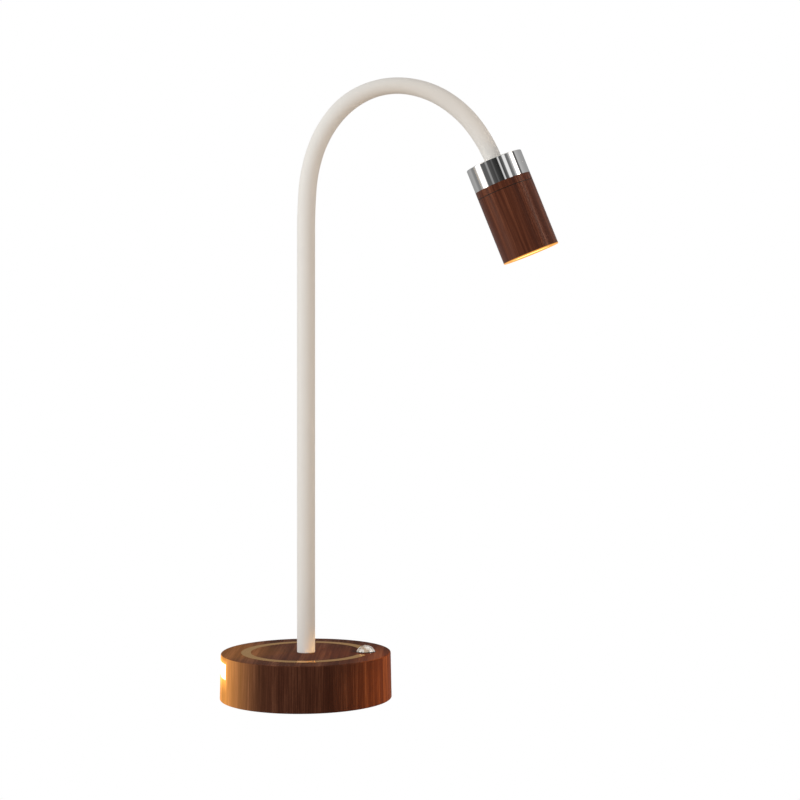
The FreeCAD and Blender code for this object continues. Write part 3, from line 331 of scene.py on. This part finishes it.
# %% Neck arcs and head axis
last_turn = math.radians(15.7)  # of the neck's last length, which ends in the head
pivots = [Vector(joints[f"neck_bend_{number}"]["pos_m"]) for number in range(1, 9)]


def ahead(heading):
    """The direction of a heading, counted from straight up towards the head."""
    return Vector((math.sin(heading), 0, math.cos(heading)))


def across(heading):
    """Square to a heading, towards the inside of the arch."""
    return Vector((math.cos(heading), 0, -math.sin(heading)))


arcs = []
heading = 0.0
for first, second in zip(pivots, pivots[1:]):
    chord = second - first
    turn = 2 * (math.atan2(chord.x, chord.z) - heading)
    link_length = chord.length * (turn / 2) / math.sin(turn / 2)
    arcs.append({"start": first, "heading": heading, "turn": turn})
    heading += turn
arcs.append({"start": pivots[-1], "heading": heading, "turn": last_turn})
head_heading = heading + last_turn
for arc in arcs:
    arc["radius"] = link_length / arc["turn"]
    arc["centre"] = arc["start"] + across(arc["heading"]) * arc["radius"]
cap_face = arcs[-1]["centre"] - across(head_heading) * arcs[-1]["radius"]
head_axis = ahead(head_heading)
print("link:", round(link_length / mm, 2), "mm, head leans", round(math.degrees(head_heading), 1))

# %% Head wood
head_wood, shader = finish("walnut_head")
centred = shader.mapped(shader.place(), move=tuple(-cap_face))
along = shader.mapped(centred, turn=(0, -head_heading, 0))
tone, pores = walnut_grain(shader, along, 0.8 * mm, 4.5 * mm, 45 * mm)
across_head, depth, down_head = shader.axes(along)
from_axis = (across_head * across_head + depth * depth).math("SQRT")
shade_low, shade_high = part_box("wood_shade")
rim_drop = cap_face.z + across(head_heading).z * shade_high.y - shade_low.z
mouth_level = rim_drop / abs(head_axis.z)
outer_wall = 19.0 * mm
inner_wall = 17.2 * mm
lit_depth = 24 * mm
rim_depth = 0.9 * mm
# The inside and the rim of the shade's mouth get an orange glow as emission: painted light, the lamp's
# own light on the wood.
is_inside = shader.fade(from_axis, outer_wall, inner_wall)
inside_glow = is_inside * shader.fade(down_head, mouth_level - lit_depth, mouth_level - 2 * mm)
rim_glow = shader.fade(down_head, mouth_level - rim_depth, mouth_level - 0.2 * mm)
painted_mouth_glow = (inside_glow * 0.5).math("MAXIMUM", rim_glow * 0.95)
# The head's browns are made redder and 1.45 times lighter than the base walnut's: painted light on the
# head.
browns = shader.mix(1.0, shader.ramp(tone, walnut_browns), (1.0, 0.86, 0.76), "MULTIPLY")
principled(
    shader,
    Base_Color=shader.scaled(browns, 1.45),
    Roughness=0.28 + tone * 0.08 + pores * 0.12,
    Specular_IOR_Level=0.14,
    Normal=shader.bump(tone * 0.4 - pores, 0.012 * mm),
    Emission_Color=shader.scaled((1.0, 0.44, 0.08, 1), painted_mouth_glow),
    Emission_Strength=1.0,
)
dress(head_wood, "wood_shade", "wood_collar")
print("mouth below the cap's face:", round(mouth_level / mm, 2), "mm")

# %% [markdown]
# The cap is polished chrome: a mirror, whose look is all in what it mirrors. Its finish is short, with
# faint polishing lines round it in the bump. The bright and dark stripes that the eye expects on it
# come later, from the studio round it. Under the cap a thin dark ring parts the two woods.

# %% Chrome and dark ring
chrome, shader = finish("polished_chrome")
centred = shader.mapped(shader.place(), move=tuple(-cap_face))
along = shader.mapped(centred, turn=(0, -head_heading, 0))
polish = shader.noise(shader.mapped(along, scale=(90, 90, 9000)), detail=2)
smear = shader.noise(shader.mapped(along, scale=(120, 120, 120)), detail=3)
principled(
    shader,
    Base_Color=shader.mix(smear, (0.80, 0.80, 0.79), (0.86, 0.85, 0.84)),
    Metallic=1.0,
    Roughness=0.035 + smear * 0.03,
    Normal=shader.bump(polish, 0.0004 * mm),
)
dress(chrome, "chrome_cap")

dark_ring, shader = finish("dark_ring")
speckle = shader.noise(shader.mapped(shader.place(), scale=(2500, 2500, 2500)), detail=2)
principled(
    shader,
    Base_Color=shader.mix(speckle, (0.012, 0.008, 0.006), (0.030, 0.021, 0.016)),
    Roughness=0.5 + speckle * 0.2,
    Normal=shader.bump(speckle, 0.01 * mm),
)
dress(dark_ring, "seam_ring", "base_pad")
print("finishes:", chrome.name, dark_ring.name)

# %% [markdown]
# A flat brass arc is let into the top of the base. Flat brass on such a base is brushed round and
# round on a lathe, so its scratches are rings: noise that is fine across the radius and long round it.
# Polar coordinates, the radius and the angle, make the rings, and the roughness follows them a little.

# %% Brushed brass
brass, shader = finish("brushed_brass")
x, y, z = shader.axes(shader.place())
radius = (x * x + y * y).math("SQRT")
angle = y.math("ARCTAN2", x)
polar = shader.node("ShaderNodeCombineXYZ", sockets={"X": radius * 4200, "Y": angle * 3, "Z": 0.0})
scratch = shader.noise(polar, detail=3, roughness=0.7)
tarnish = shader.noise(shader.mapped(shader.place(), scale=(70, 70, 70)), detail=3)
principled(
    shader,
    Base_Color=shader.mix(tarnish, (0.66, 0.40, 0.17), (0.78, 0.49, 0.22)),
    Specular_Tint=(1.0, 0.76, 0.50, 1),
    Metallic=1.0,
    Roughness=0.12 + scratch * 0.08,
    Normal=shader.bump(scratch, 0.004 * mm),
)
dress(brass, "brass_inlay")
print("finish:", brass.name)

# %% [markdown]
# The window in the base shines by itself: it is opal plastic with light behind it, almost white in the
# middle and warmer where its edge meets the wood. Down in the mouth of the head the liner catches the
# lamp's own light, and that light is painted on it as emission: pale yellow inside, and orange where
# the rim thins out. The lens and the light chip behind it are brighter still.

# %% Lit surfaces
lit_window, shader = finish("opal_window")
x, y, z = shader.axes(shader.place())
window_middle = (window_low.z + window_high.z) / 2
window_half_height = (window_high.z - window_low.z) / 2
up_share = ((z - window_middle) / window_half_height).math("ABSOLUTE")
side_share = y.math("ABSOLUTE") / window_high.y
edge = shader.fade(up_share, 0.72, 1.0).math("MAXIMUM", shader.fade(side_share, 0.90, 1.0))
cloud = shader.noise(shader.mapped(shader.place(), scale=(400, 400, 400)), detail=2)
principled(
    shader,
    Base_Color=(0.92, 0.86, 0.72, 1),
    Roughness=0.35 + cloud * 0.1,
    Emission_Color=shader.mix(edge, (1.0, 0.97, 0.86), (1.0, 0.80, 0.42)),
    Emission_Strength=1.25,
)
dress(lit_window, "window_diffuser")

painted_liner_light, shader = finish("painted_liner_light")
centred = shader.mapped(shader.place(), move=tuple(-cap_face))
across_head, depth, down_head = shader.axes(shader.mapped(centred, turn=(0, -head_heading, 0)))
# Painted light on the liner: emission, pale yellow deep inside and orange towards the rim.
rim = shader.fade(down_head, mouth_level - 4 * mm, mouth_level - 1 * mm)
principled(
    shader,
    Base_Color=(0.85, 0.74, 0.52, 1),
    Roughness=0.4 + rim * 0.05,
    Emission_Color=shader.mix(rim, (1.0, 0.84, 0.42), (1.0, 0.52, 0.10)),
    Emission_Strength=1.15,
)
dress(painted_liner_light, "shade_liner")

lit_lens, shader = finish("lit_lens")
rings = shader.noise(shader.mapped(shader.place(), scale=(900, 900, 900)), detail=2)
principled(
    shader,
    Base_Color=(0.96, 0.95, 0.92, 1),
    Roughness=0.12 + rings * 0.05,
    IOR=1.5,
    Emission_Color=shader.mix(rings, (1.0, 0.86, 0.52), (1.0, 0.92, 0.66)),
    Emission_Strength=1.1,
)
dress(lit_lens, "lens")

lit_chip, shader = finish("light_chips")
grains = shader.noise(shader.mapped(shader.place(), scale=(3000, 3000, 3000)), detail=2)
principled(
    shader,
    Base_Color=(1.0, 0.78, 0.25, 1),
    Roughness=0.5 + grains * 0.1,
    Emission_Color=shader.mix(grains, (1.0, 0.80, 0.40), (1.0, 0.90, 0.60)),
    Emission_Strength=1.0,
)
dress(lit_chip, "light_chip", "window_diodes")
print("window height:", round(2 * window_half_height / mm, 1), "mm")

# %% [markdown]
# The pieces inside don't show until someone takes the lamp apart, but each has its real finish: turned
# brass and aluminium, plain steel, moulded plastics, green boards. They differ in colour, metal and
# gloss only, so one function makes them all, with a fine streak from machining or a fine mottle from
# moulding in both the colour and the bump.

# %% Inner finishes
def plain_finish(name, colour, metallic, roughness, streak, grain=1500):
    material, shader = finish(name)
    scale = (grain, grain, grain * streak)
    mottle = shader.noise(shader.mapped(shader.place(), scale=scale), detail=2)
    darker = tuple(0.78 * share for share in colour)
    principled(
        shader,
        Base_Color=shader.mix(mottle, darker, colour),
        Metallic=metallic,
        Roughness=roughness + mottle * 0.12,
        Normal=shader.bump(mottle, 0.006 * mm),
    )
    return material


steel = plain_finish("plain_steel", (0.56, 0.56, 0.55), 1.0, 0.26, 0.05)
aluminium = plain_finish("turned_aluminium", (0.72, 0.72, 0.73), 1.0, 0.28, 8)
turned_brass = plain_finish("turned_brass", (0.60, 0.46, 0.22), 1.0, 0.22, 8)
white_plastic = plain_finish("white_plastic", (0.84, 0.83, 0.80), 0.0, 0.38, 1)
black_plastic = plain_finish("black_plastic", (0.035, 0.035, 0.040), 0.0, 0.40, 1)
nylon = plain_finish("natural_nylon", (0.80, 0.79, 0.73), 0.0, 0.45, 1)
board = plain_finish("board_green", (0.025, 0.15, 0.07), 0.0, 0.30, 1, grain=600)
cell_wrap = plain_finish("cell_wrap", (0.10, 0.22, 0.42), 0.0, 0.30, 1, grain=300)
insulation = plain_finish("lead_insulation", (0.24, 0.035, 0.03), 0.0, 0.45, 1)
mirror_coat = plain_finish("mirror_coat", (0.92, 0.91, 0.89), 1.0, 0.06, 1)

dress(steel, "bottom_plate", "plate_screws", "ballast_weight", "board_screws", "charge_socket")
dress(steel, "stop_pin", "ceiling_screws", "pole_tube", "stop_washer")
dress(steel, "spring_washer", "lock_nut", "head_washer", "head_nut")
dress(aluminium, "pole_collar", "neck_root", "neck_end", "head_core", "heat_sink", "chip_board")
dress(aluminium, "lens_ring", *[f"neck_link_{number}" for number in range(1, 8)])
dress(turned_brass, "pole_bush")
dress(white_plastic, "light_box", "button_plunger")
dress(black_plastic, "push_switch", "board_parts", "battery_cradle", "button_cup")
dress(nylon, "board_spacers", "thrust_washer")
dress(board, "control_board", "charge_board", "window_strip")
dress(cell_wrap, "battery_cell")
dress(insulation, "base_leads")
dress(mirror_coat, "reflector")
print("finishes so far:", len(bpy.data.materials))

# %% [markdown]
# The arm is a steel pole and a neck of ball-jointed links, all inside one white silicone sleeve. When
# the neck bends, the sleeve bends with it, and a rigid solid can't. So the sleeve is modelled anew in
# ten lengths: one on the pole, one across each of the eight joints, and one on the head. Each length
# across a joint starts and ends in the middle of a link, so neighbouring lengths meet.
#
# A curve with a bevel could make a tube too, but here each length should have clean rings that sit
# square to the arc. So a circle is added, extruded where the arm is straight, and spun round the centre
# of each arc. The lamp cable inside the neck is made in the same way.

# %% Modelling helpers
def select_points(piece, test):
    """In edit mode, selects the points that pass a test and nothing else."""
    bpy.ops.mesh.select_mode(type="VERT")
    bpy.ops.mesh.select_all(action="DESELECT")
    shape = bmesh.from_edit_mesh(piece.data)
    for vertex in shape.verts:
        vertex.select = test(vertex.co)
    shape.select_flush_mode()
    bmesh.update_edit_mesh(piece.data)


def new_circle(name, radius, sides, at, lean=0.0, fill="NOTHING"):
    """Adds a circle, alone selected, open in edit mode, with its place in its mesh."""
    bpy.ops.object.select_all(action="DESELECT")
    bpy.ops.mesh.primitive_circle_add(
        vertices=sides, radius=radius, fill_type=fill, location=at, rotation=(0, lean, 0)
    )
    piece = bpy.context.object
    piece.name = piece.data.name = name
    bpy.ops.object.transform_apply(location=True, rotation=True, scale=True)
    bpy.ops.object.mode_set(mode="EDIT")
    bpy.ops.mesh.select_all(action="SELECT")
    return piece


def close_piece(piece, material, smooth_angle=40):
    """Merges doubles, turns the faces outwards, leaves edit mode and gives the finish."""
    bpy.ops.mesh.select_all(action="SELECT")
    bpy.ops.mesh.remove_doubles(threshold=0.001 * mm)
    bpy.ops.mesh.normals_make_consistent(inside=False)
    bpy.ops.object.mode_set(mode="OBJECT")
    bpy.ops.object.shade_smooth_by_angle(angle=math.radians(smooth_angle))
    piece.data.materials.append(material)
    return piece


def extrude_along(vector):
    bpy.ops.mesh.extrude_region_move(TRANSFORM_OT_translate={"value": tuple(vector)})


print("new pieces start as a circle and are then extruded or spun")

# %% Arm route
pole_end = arcs[0]["start"].z


def arm_point(distance):
    """Centre and heading of the arm at a distance above the table, followed along the arm."""
    if distance <= pole_end:
        return Vector((0, 0, distance)), 0.0
    number = min(int((distance - pole_end) / link_length), len(arcs) - 1)
    arc = arcs[number]
    run = distance - pole_end - number * link_length
    if run > link_length:
        return cap_face + head_axis * (run - link_length), head_heading
    turned = arc["heading"] + run / arc["radius"]
    return arc["centre"] - across(turned) * arc["radius"], turned


cap_distance = pole_end + len(arcs) * link_length
for number, pivot in enumerate(pivots):
    miss = (arm_point(pole_end + number * link_length)[0] - pivot).length
    assert miss < 0.01 * mm, f"joint {number + 1} is {miss} m off the route"
print("arm length:", round(cap_distance / mm, 1), "mm")

# %% Tubes that bend
rings_per_link = 24


def draw_tube(name, radius, sides, start, end):
    """A tube's skin along the arm between two distances. Its last ring stays selected."""
    at, lean = arm_point(start)
    piece = new_circle(name, radius, sides, at, lean)
    rings = [start]
    marks = [pole_end + number * link_length for number in range(len(arcs) + 1)]
    stops = [mark for mark in marks if start + mm < mark < end - mm] + [end]
    here = start
    for stop in stops:
        middle = (here + stop) / 2 - pole_end
        number = math.floor(middle / link_length)
        if 0 <= number < len(arcs):
            arc = arcs[number]
            steps = max(round(rings_per_link * (stop - here) / link_length), 1)
            turn = (stop - here) / arc["radius"]
            bpy.ops.mesh.spin(steps=steps, angle=-turn, center=arc["centre"], axis=(0, 1, 0))
            rings += [here + (stop - here) * step / steps for step in range(1, steps + 1)]
        else:
            extrude_along(arm_point(stop)[0] - arm_point(here)[0])
            rings.append(stop)
        here = stop
    return piece, rings


def squeeze_rings(piece, rings, share_at):
    """Narrows each ring in the plane of the arch."""
    for ring in rings:
        centre, heading = arm_point(ring)
        normal, side = ahead(heading), across(heading)
        select_points(piece, lambda point: abs((point - centre).dot(normal)) < 0.05 * mm)
        bpy.ops.transform.resize(
            value=(share_at(ring), 1, 1),
            orient_type="GLOBAL",
            orient_matrix=Matrix((side, (0, 1, 0), normal)),
            orient_matrix_type="GLOBAL",
            constraint_axis=(True, False, False),
            center_override=centre,
        )


def across_joints(name, radius, foot, head_end, make):
    """Makes a tube's ten lengths, and fastens the first to the arm and the last to the head."""
    middles = [pole_end + (number - 0.5) * link_length for number in range(len(arcs) + 1)]
    pieces = [make(f"{name}_pole", foot, middles[0])]
    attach(pieces[0], "arm")
    for number in range(len(arcs)):
        start, end = middles[number], middles[number + 1]
        piece = make(f"{name}_bend_{number + 1}", start, end)
        arm_point(start + 0.3 * radius)[0]
        arm_point(end - 0.3 * radius)[0]
        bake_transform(piece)
        pieces.append(piece)
    pieces.append(make(f"{name}_head", middles[-1], head_end))
    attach(pieces[-1], "head")
    return pieces


print("rings on each link:", rings_per_link)

# %% [markdown]
# Silicone is matt, and over the arch it is pulled a little flat: measured on the photograph, the tube
# is thinner across the arch than up the pole. So every ring is narrowed in the plane of the arch, most
# at its top. Solidify then gives the sleeve its wall, inwards, and the foot gets a rounded edge.

# %% Sleeve
silicone, shader = finish("white_silicone")
place = shader.place()
mottle = shader.noise(shader.mapped(place, scale=(160, 160, 60)), detail=3)
orange_peel = shader.noise(shader.mapped(place, scale=(1800, 1800, 1800)), detail=2)
principled(
    shader,
    Base_Color=shader.mix(mottle, (0.82, 0.815, 0.795), (0.86, 0.855, 0.84)),
    Roughness=0.50 + orange_peel * 0.12,
    IOR=1.42,
    Normal=shader.bump(orange_peel, 0.006 * mm),
)

sleeve_low, sleeve_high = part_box("arm_sleeve")
sleeve_radius = sleeve_high.y
sleeve_wall = 0.9 * mm
sleeve_sides = 48
foot_round = 0.6 * mm
squeezes = [(0, 1.0), (0.4, 0.97), (0.8, 0.90), (1.1, 0.872), (1.5, 0.90), (2.4, 0.945)]


def squeeze_at(distance):
    """How wide the sleeve is in the plane of the arch, by how far the arm has turned there."""
    turned = arm_point(distance)[1]
    for (low, first), (high, second) in zip(squeezes, squeezes[1:]):
        if turned <= high:
            share = (turned - low) / (high - low)
            return first + (second - first) * share * share * (3 - 2 * share)
    return squeezes[-1][1]


def make_sleeve(name, start, end):
    piece, rings = draw_tube(name, sleeve_radius, sleeve_sides, start, end)
    squeeze_rings(piece, [ring for ring in rings if ring > pole_end], squeeze_at)
    close_piece(piece, silicone)
    wall = piece.modifiers.new("wall", "SOLIDIFY")
    wall.thickness = sleeve_wall
    wall.offset = -1
    bpy.ops.object.modifier_apply(modifier=wall.name)
    bpy.ops.object.shade_smooth_by_angle(angle=math.radians(40))
    if start == sleeve_low.z:
        bpy.ops.object.mode_set(mode="EDIT")
        rim = sleeve_radius - 0.1 * mm
        select_points(piece, lambda at: at.z < start + 0.1 * mm and math.hypot(at.x, at.y) > rim)
        bpy.ops.mesh.bevel(offset=foot_round, segments=4, affect="EDGES")
        bpy.ops.object.mode_set(mode="OBJECT")
        bpy.ops.object.shade_smooth_by_angle(angle=math.radians(40))
    return piece


sleeve_end = cap_distance - 0.2 * mm
sleeve = across_joints("sleeve", sleeve_radius, sleeve_low.z, sleeve_end, make_sleeve)
for piece in sleeve:
    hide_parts("arm_sleeve")
print("sleeve pieces:", len(sleeve), "faces:", sum(len(piece.data.polygons) for piece in sleeve))

# %% [markdown]
# The lamp cable runs inside the pole and the neck, from the base to the light chip. It never shows, but
# a stiff one would poke out of the sleeve when the neck opens, so it is made in the same ten lengths.

# %% Lamp cable
cable_low, cable_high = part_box("lamp_cable")
cable_radius = cable_high.y
cable_end_across = cable_high.x - cable_radius * abs(across(head_heading).x)
cable_end = cap_distance + (cable_end_across - cap_face.x) / head_axis.x


def make_cable(name, start, end):
    piece, rings = draw_tube(name, cable_radius, 16, start, end)
    for ring in (rings[0], rings[-1]):
        centre, heading = arm_point(ring)
        normal = ahead(heading)
        select_points(piece, lambda point: abs((point - centre).dot(normal)) < 0.05 * mm)
        bpy.ops.mesh.edge_face_add()
    return close_piece(piece, insulation)


cable = across_joints("cable", cable_radius, cable_low.z, cable_end, make_cable)
for piece in cable:
    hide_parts("lamp_cable")
print("cable pieces:", len(cable))

# %% [markdown]
# The dome button is a clear crystal on a bright foil, like a cut stone in costume jewellery. What shows
# is the foil: flat facets at many angles, each of which mirrors another part of the room. The crystal
# over it is smooth. So the button is two pieces: the crystal, drawn ring by ring like a turned part,
# and the foil, a low cone of flat facets in two rows.

# %% Dome outlines
dome_low, dome_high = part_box("dome_button")
dome_middle = (dome_low.x + dome_high.x) / 2
flange_radius = (dome_high.x - dome_low.x) / 2
flange_thickness = 1.5 * mm
flange_top = dome_low.z + flange_thickness
dome_radius = 6.7 * mm
dome_steps = 15
dome_rise = dome_high.z - top_level
ball_radius = (dome_radius**2 + dome_rise**2) / (2 * dome_rise)
ball_level = dome_high.z - ball_radius


def raise_rings(piece, outline, close_top=True):
    """Draws a turned piece from a filled circle, one ring for each (radius, level) of its outline."""
    for (radius, level), (next_radius, next_level) in zip(outline, outline[1:]):
        extrude_along((0, 0, next_level - level))
        centre = (dome_middle, 0, next_level)
        share = next_radius / radius
        bpy.ops.transform.resize(value=(share, share, 1), center_override=centre)
    if close_top:
        bpy.ops.mesh.merge(type="CENTER")
    return piece


print("dome: part of a ball of radius", round(ball_radius / mm, 2), "mm")

# %% Crystal and foil
crystal, shader = finish("clear_crystal")
haze = shader.noise(shader.mapped(shader.place(), scale=(300, 300, 300)), detail=2)
principled(
    shader,
    Base_Color=(0.99, 0.97, 0.95, 1),
    Roughness=0.015 + haze * 0.02,
    IOR=1.5,
    Transmission_Weight=1.0,
)
dome_outline = [(flange_radius, dome_low.z), (flange_radius, flange_top)]
dome_outline += [(dome_radius, flange_top + 0.01 * mm), (dome_radius, top_level)]
for step in range(1, dome_steps):
    tilt = math.asin(dome_radius / ball_radius) * (1 - step / dome_steps)
    dome_outline.append((ball_radius * math.sin(tilt), ball_level + ball_radius * math.cos(tilt)))
dome_outline.append((0.05 * mm, dome_high.z))
dome = new_circle("dome_crystal", flange_radius, 64, (dome_middle, 0, dome_low.z), fill="NGON")
raise_rings(dome, dome_outline)
close_piece(dome, crystal, smooth_angle=30)
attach(dome, "dome")
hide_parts("dome_button")

foil_finish, shader = finish("crystal_foil")
x, y, z = shader.axes(shader.place())
# The foil's colour is patched pale and peach by noise: partly the foil's own metal colour, partly
# painted reflections of the room.
painted_reflection_patch = shader.noise(shader.mapped(shader.place(), scale=(280, 280, 280)), detail=0)
principled(
    shader,
    Base_Color=shader.mix(shader.fade(painted_reflection_patch, 0.35, 0.65), (0.56, 0.43, 0.31), (0.97, 0.93, 0.88)),
    Metallic=0.75,
    Roughness=0.16 + painted_reflection_patch * 0.05,
)
foil_low = top_level + 0.25 * mm
foil_radius = 0.90 * dome_radius
facets_round = 9
foil_outline = [(foil_radius, foil_low), (0.62 * dome_radius, top_level + 2.3 * mm)]
foil_outline += [(0.30 * dome_radius, top_level + 3.6 * mm)]
foil_foot = (dome_middle, 0, foil_low)
foil = new_circle("crystal_foil", foil_radius, facets_round, foil_foot, fill="NGON")
raise_rings(foil, foil_outline, close_top=False)
close_piece(foil, foil_finish, smooth_angle=5)
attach(foil, "dome")
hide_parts("dome_button")
print("dome rise:", round(dome_rise / mm, 2), "mm")

# %% [markdown]
# A coil spring pushes the button up again. It gets shorter as the button goes down, so it is modelled
# anew as well: a small circle stands beside the button's axis, and the Screw modifier winds it up.

# %% Button spring
spring_low, spring_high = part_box("button_spring")
wire_radius = 0.25 * mm
coil_radius = (spring_high.y - spring_low.y) / 2 - wire_radius
coil_turns = 5
steps_per_turn = 40
coil_rise = spring_high.z - spring_low.z - 2 * wire_radius
bpy.ops.object.select_all(action="DESELECT")
bpy.ops.mesh.primitive_circle_add(
    vertices=12, radius=wire_radius, location=(coil_radius, 0, 0), rotation=(math.radians(90), 0, 0)
)
spring = bpy.context.object
spring.name = spring.data.name = "coil_spring"
bpy.ops.object.transform_apply(location=True, rotation=True, scale=True)
coil = spring.modifiers.new("coil", "SCREW")
coil.screw_offset = coil_rise / coil_turns
coil.iterations = coil_turns
coil.steps = coil.render_steps = steps_per_turn
bpy.ops.object.modifier_apply(modifier=coil.name)
bpy.ops.object.mode_set(mode="EDIT")
bpy.ops.mesh.select_all(action="SELECT")
bpy.ops.mesh.fill_holes(sides=0)
close_piece(spring, steel, smooth_angle=50)
spring.location = (dome_middle, 0, spring_low.z + wire_radius)
bpy.ops.object.transform_apply(location=True, rotation=True, scale=True)
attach(spring, "base")
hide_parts("button_spring")
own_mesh(spring)

# %% [markdown]
# The lamp stands on a pale floor in a white studio. Eye and mirror should see plain white there, but
# the floor must still be a real floor, which throws a little warm light back up. Light Path tells rays
# apart: for camera, mirror and glass rays the floor is white emission, and for all others it is a warm
# beige. The photograph shows no shadow on its floor, so the white hides it here too.

# %% Floor
floor_radius = 0.75
floor = new_circle("floor", floor_radius, 96, (0, 0, -0.02 * mm), fill="NGON")
floor_finish, shader = finish("pale_floor")
bpy.ops.object.mode_set(mode="OBJECT")
floor.data.materials.append(floor_finish)
direct_rays = ("Is Camera Ray", "Is Glossy Ray", "Is Transmission Ray")
paths = shader.node("ShaderNodeLightPath").socket.node.outputs
is_camera, is_mirror, is_glass = [Value(shader, paths[name]) for name in direct_rays]
seen_directly = (is_camera + is_mirror + is_glass).math("MINIMUM", 1)
paper = shader.noise(shader.mapped(shader.place(), scale=(900, 900, 900)), detail=2)
paper_colour = shader.mix(paper, (0.44, 0.36, 0.28), (0.48, 0.40, 0.32))
lit = shader.node("ShaderNodeBsdfDiffuse", sockets={"Color": paper_colour})
white = shader.node("ShaderNodeEmission", sockets={"Color": (1, 1, 1, 1), "Strength": 1.0})
sockets = {0: seen_directly, 1: lit, 2: white}
surface = shader.node("ShaderNodeMixShader", sockets=sockets)
shader.node("ShaderNodeOutputMaterial", sockets={"Surface": surface})
print("floor radius:", floor_radius, "m")

# %% [markdown]
# Chrome needs something to mirror. In a studio that is a row of tall white and black boards round the
# product, and on an upright cylinder they show as long stripes. A cylinder mirrors the room squeezed:
# a board at an angle a from the camera shows at the sine of a/2 across the cylinder. Turned round, that
# rule places each board so that its stripe falls where the photograph has it. Overhead the boards fade
# into a plain pale ceiling. Camera rays see white, and the light that falls on matt surfaces is even.

# %% Studio
world = bpy.data.worlds.new("studio")
bpy.context.scene.world = world
world.use_nodes = True
world.cycles.sampling_method = "NONE"
shader = Shader(world.node_tree)
paths = shader.node("ShaderNodeLightPath").socket.node.outputs
is_camera, is_mirror, is_glass = [Value(shader, paths[name]) for name in direct_rays]
direction = shader.node("ShaderNodeTexCoord", output="Generated")
x, y, z = shader.axes(direction)
board_angle = x.math("ARCTAN2", y * -1)
across_chrome = (board_angle / 2).math("SINE") * 0.5 + 0.5
stripes = [
    (0.000, 0.34),
    (0.055, 0.45),
    (0.085, 0.25),
    (0.120, 0.28),
    (0.138, 0.32),
    (0.150, 1.00),
    (0.243, 1.00),
    (0.252, 0.12),
    (0.320, 0.12),
    (0.334, 0.36),
    (0.352, 0.34),
    (0.362, 0.10),
    (0.420, 0.06),
    (0.436, 0.14),
    (0.456, 0.05),
    (0.530, 0.02),
    (0.541, 0.75),
    (0.556, 0.75),
    (0.566, 0.06),
    (0.612, 0.14),
    (0.626, 0.95),
    (0.668, 0.95),
    (0.678, 0.14),
    (0.720, 0.22),
    (0.765, 0.90),
    (0.826, 1.00),
    (0.836, 0.08),
    (0.858, 0.10),
    (0.870, 0.55),
    (0.930, 0.42),
    (1.000, 0.34),
]
boards = shader.ramp(across_chrome, [(place, (level, level, level)) for place, level in stripes])
lamp_left = shader.fade(across_chrome, 0.15, 0.19) * shader.fade(across_chrome, 0.243, 0.205)
lamp_right = shader.fade(across_chrome, 0.76, 0.795) * shader.fade(across_chrome, 0.826, 0.80)
soft_boxes = shader.scaled((1.0, 0.84, 0.70, 1), lamp_left * 2.5 + lamp_right * 7)
boards = shader.node("ShaderNodeVectorMath", {"operation": "ADD"}, {0: boards, 1: soft_boxes})
ceiling = shader.fade(z, 0.45, 0.80)
mirrored = shader.mix(ceiling, boards, (0.62, 0.60, 0.57))
even_light = (0.61, 0.575, 0.54)
seen_colour = shader.mix(is_mirror, even_light, mirrored)
seen_colour = shader.mix(is_camera.math("MAXIMUM", is_glass), seen_colour, (1.0, 1.0, 1.0))
background = shader.node("ShaderNodeBackground", sockets={"Color": seen_colour, "Strength": 1.0})
shader.node("ShaderNodeOutputWorld", sockets={"Surface": background})
print("stripes round the lamp:", len(stripes))

# %% [markdown]
# Three lamps shape the object. A broad soft one stands left in front, and makes the left side of the
# tube the bright one. A weak warm one, low at the right, keeps the dark side from going grey. The third
# is a narrow warm spot close by on the right, aimed down at the base, which gives its right side the
# orange tone. None of them shows to the camera or in the chrome.

# %% Lamps
def add_lamp(name, kind, at, target, power, colour, **settings):
    data = bpy.data.lights.new(name, kind)
    data.energy = power
    data.color = colour
    for setting, value in settings.items():
        setattr(data, setting, value)
    lamp = bpy.data.objects.new(name, data)
    lamp.location = at
    lamp.rotation_mode = "QUATERNION"
    lamp.rotation_quaternion = (Vector(target) - Vector(at)).to_track_quat("-Z", "Y")
    lamp.visible_camera = False
    lamp.visible_glossy = False
    lamp.visible_transmission = False
    bpy.context.scene.collection.objects.link(lamp)
    return lamp


add_lamp("key", "AREA", (-1.1, -0.75, 0.42), (0, 0, 0.2), 8.0, (0.98, 1.0, 1.0), size=0.7)
add_lamp("warm_fill", "AREA", (0.8, -0.35, 0.04), (0, 0, 0.1), 1.6, (1.0, 0.70, 0.42), size=0.5)
orange = (1.0, 0.48, 0.08)
narrow = {"spot_size": math.radians(15), "spot_blend": 0.7, "shadow_soft_size": 0.02}
add_lamp("rim_spot", "SPOT", (0.34, -0.12, 0.16), (0.056, -0.015, 0.014), 9.0, orange, **narrow)
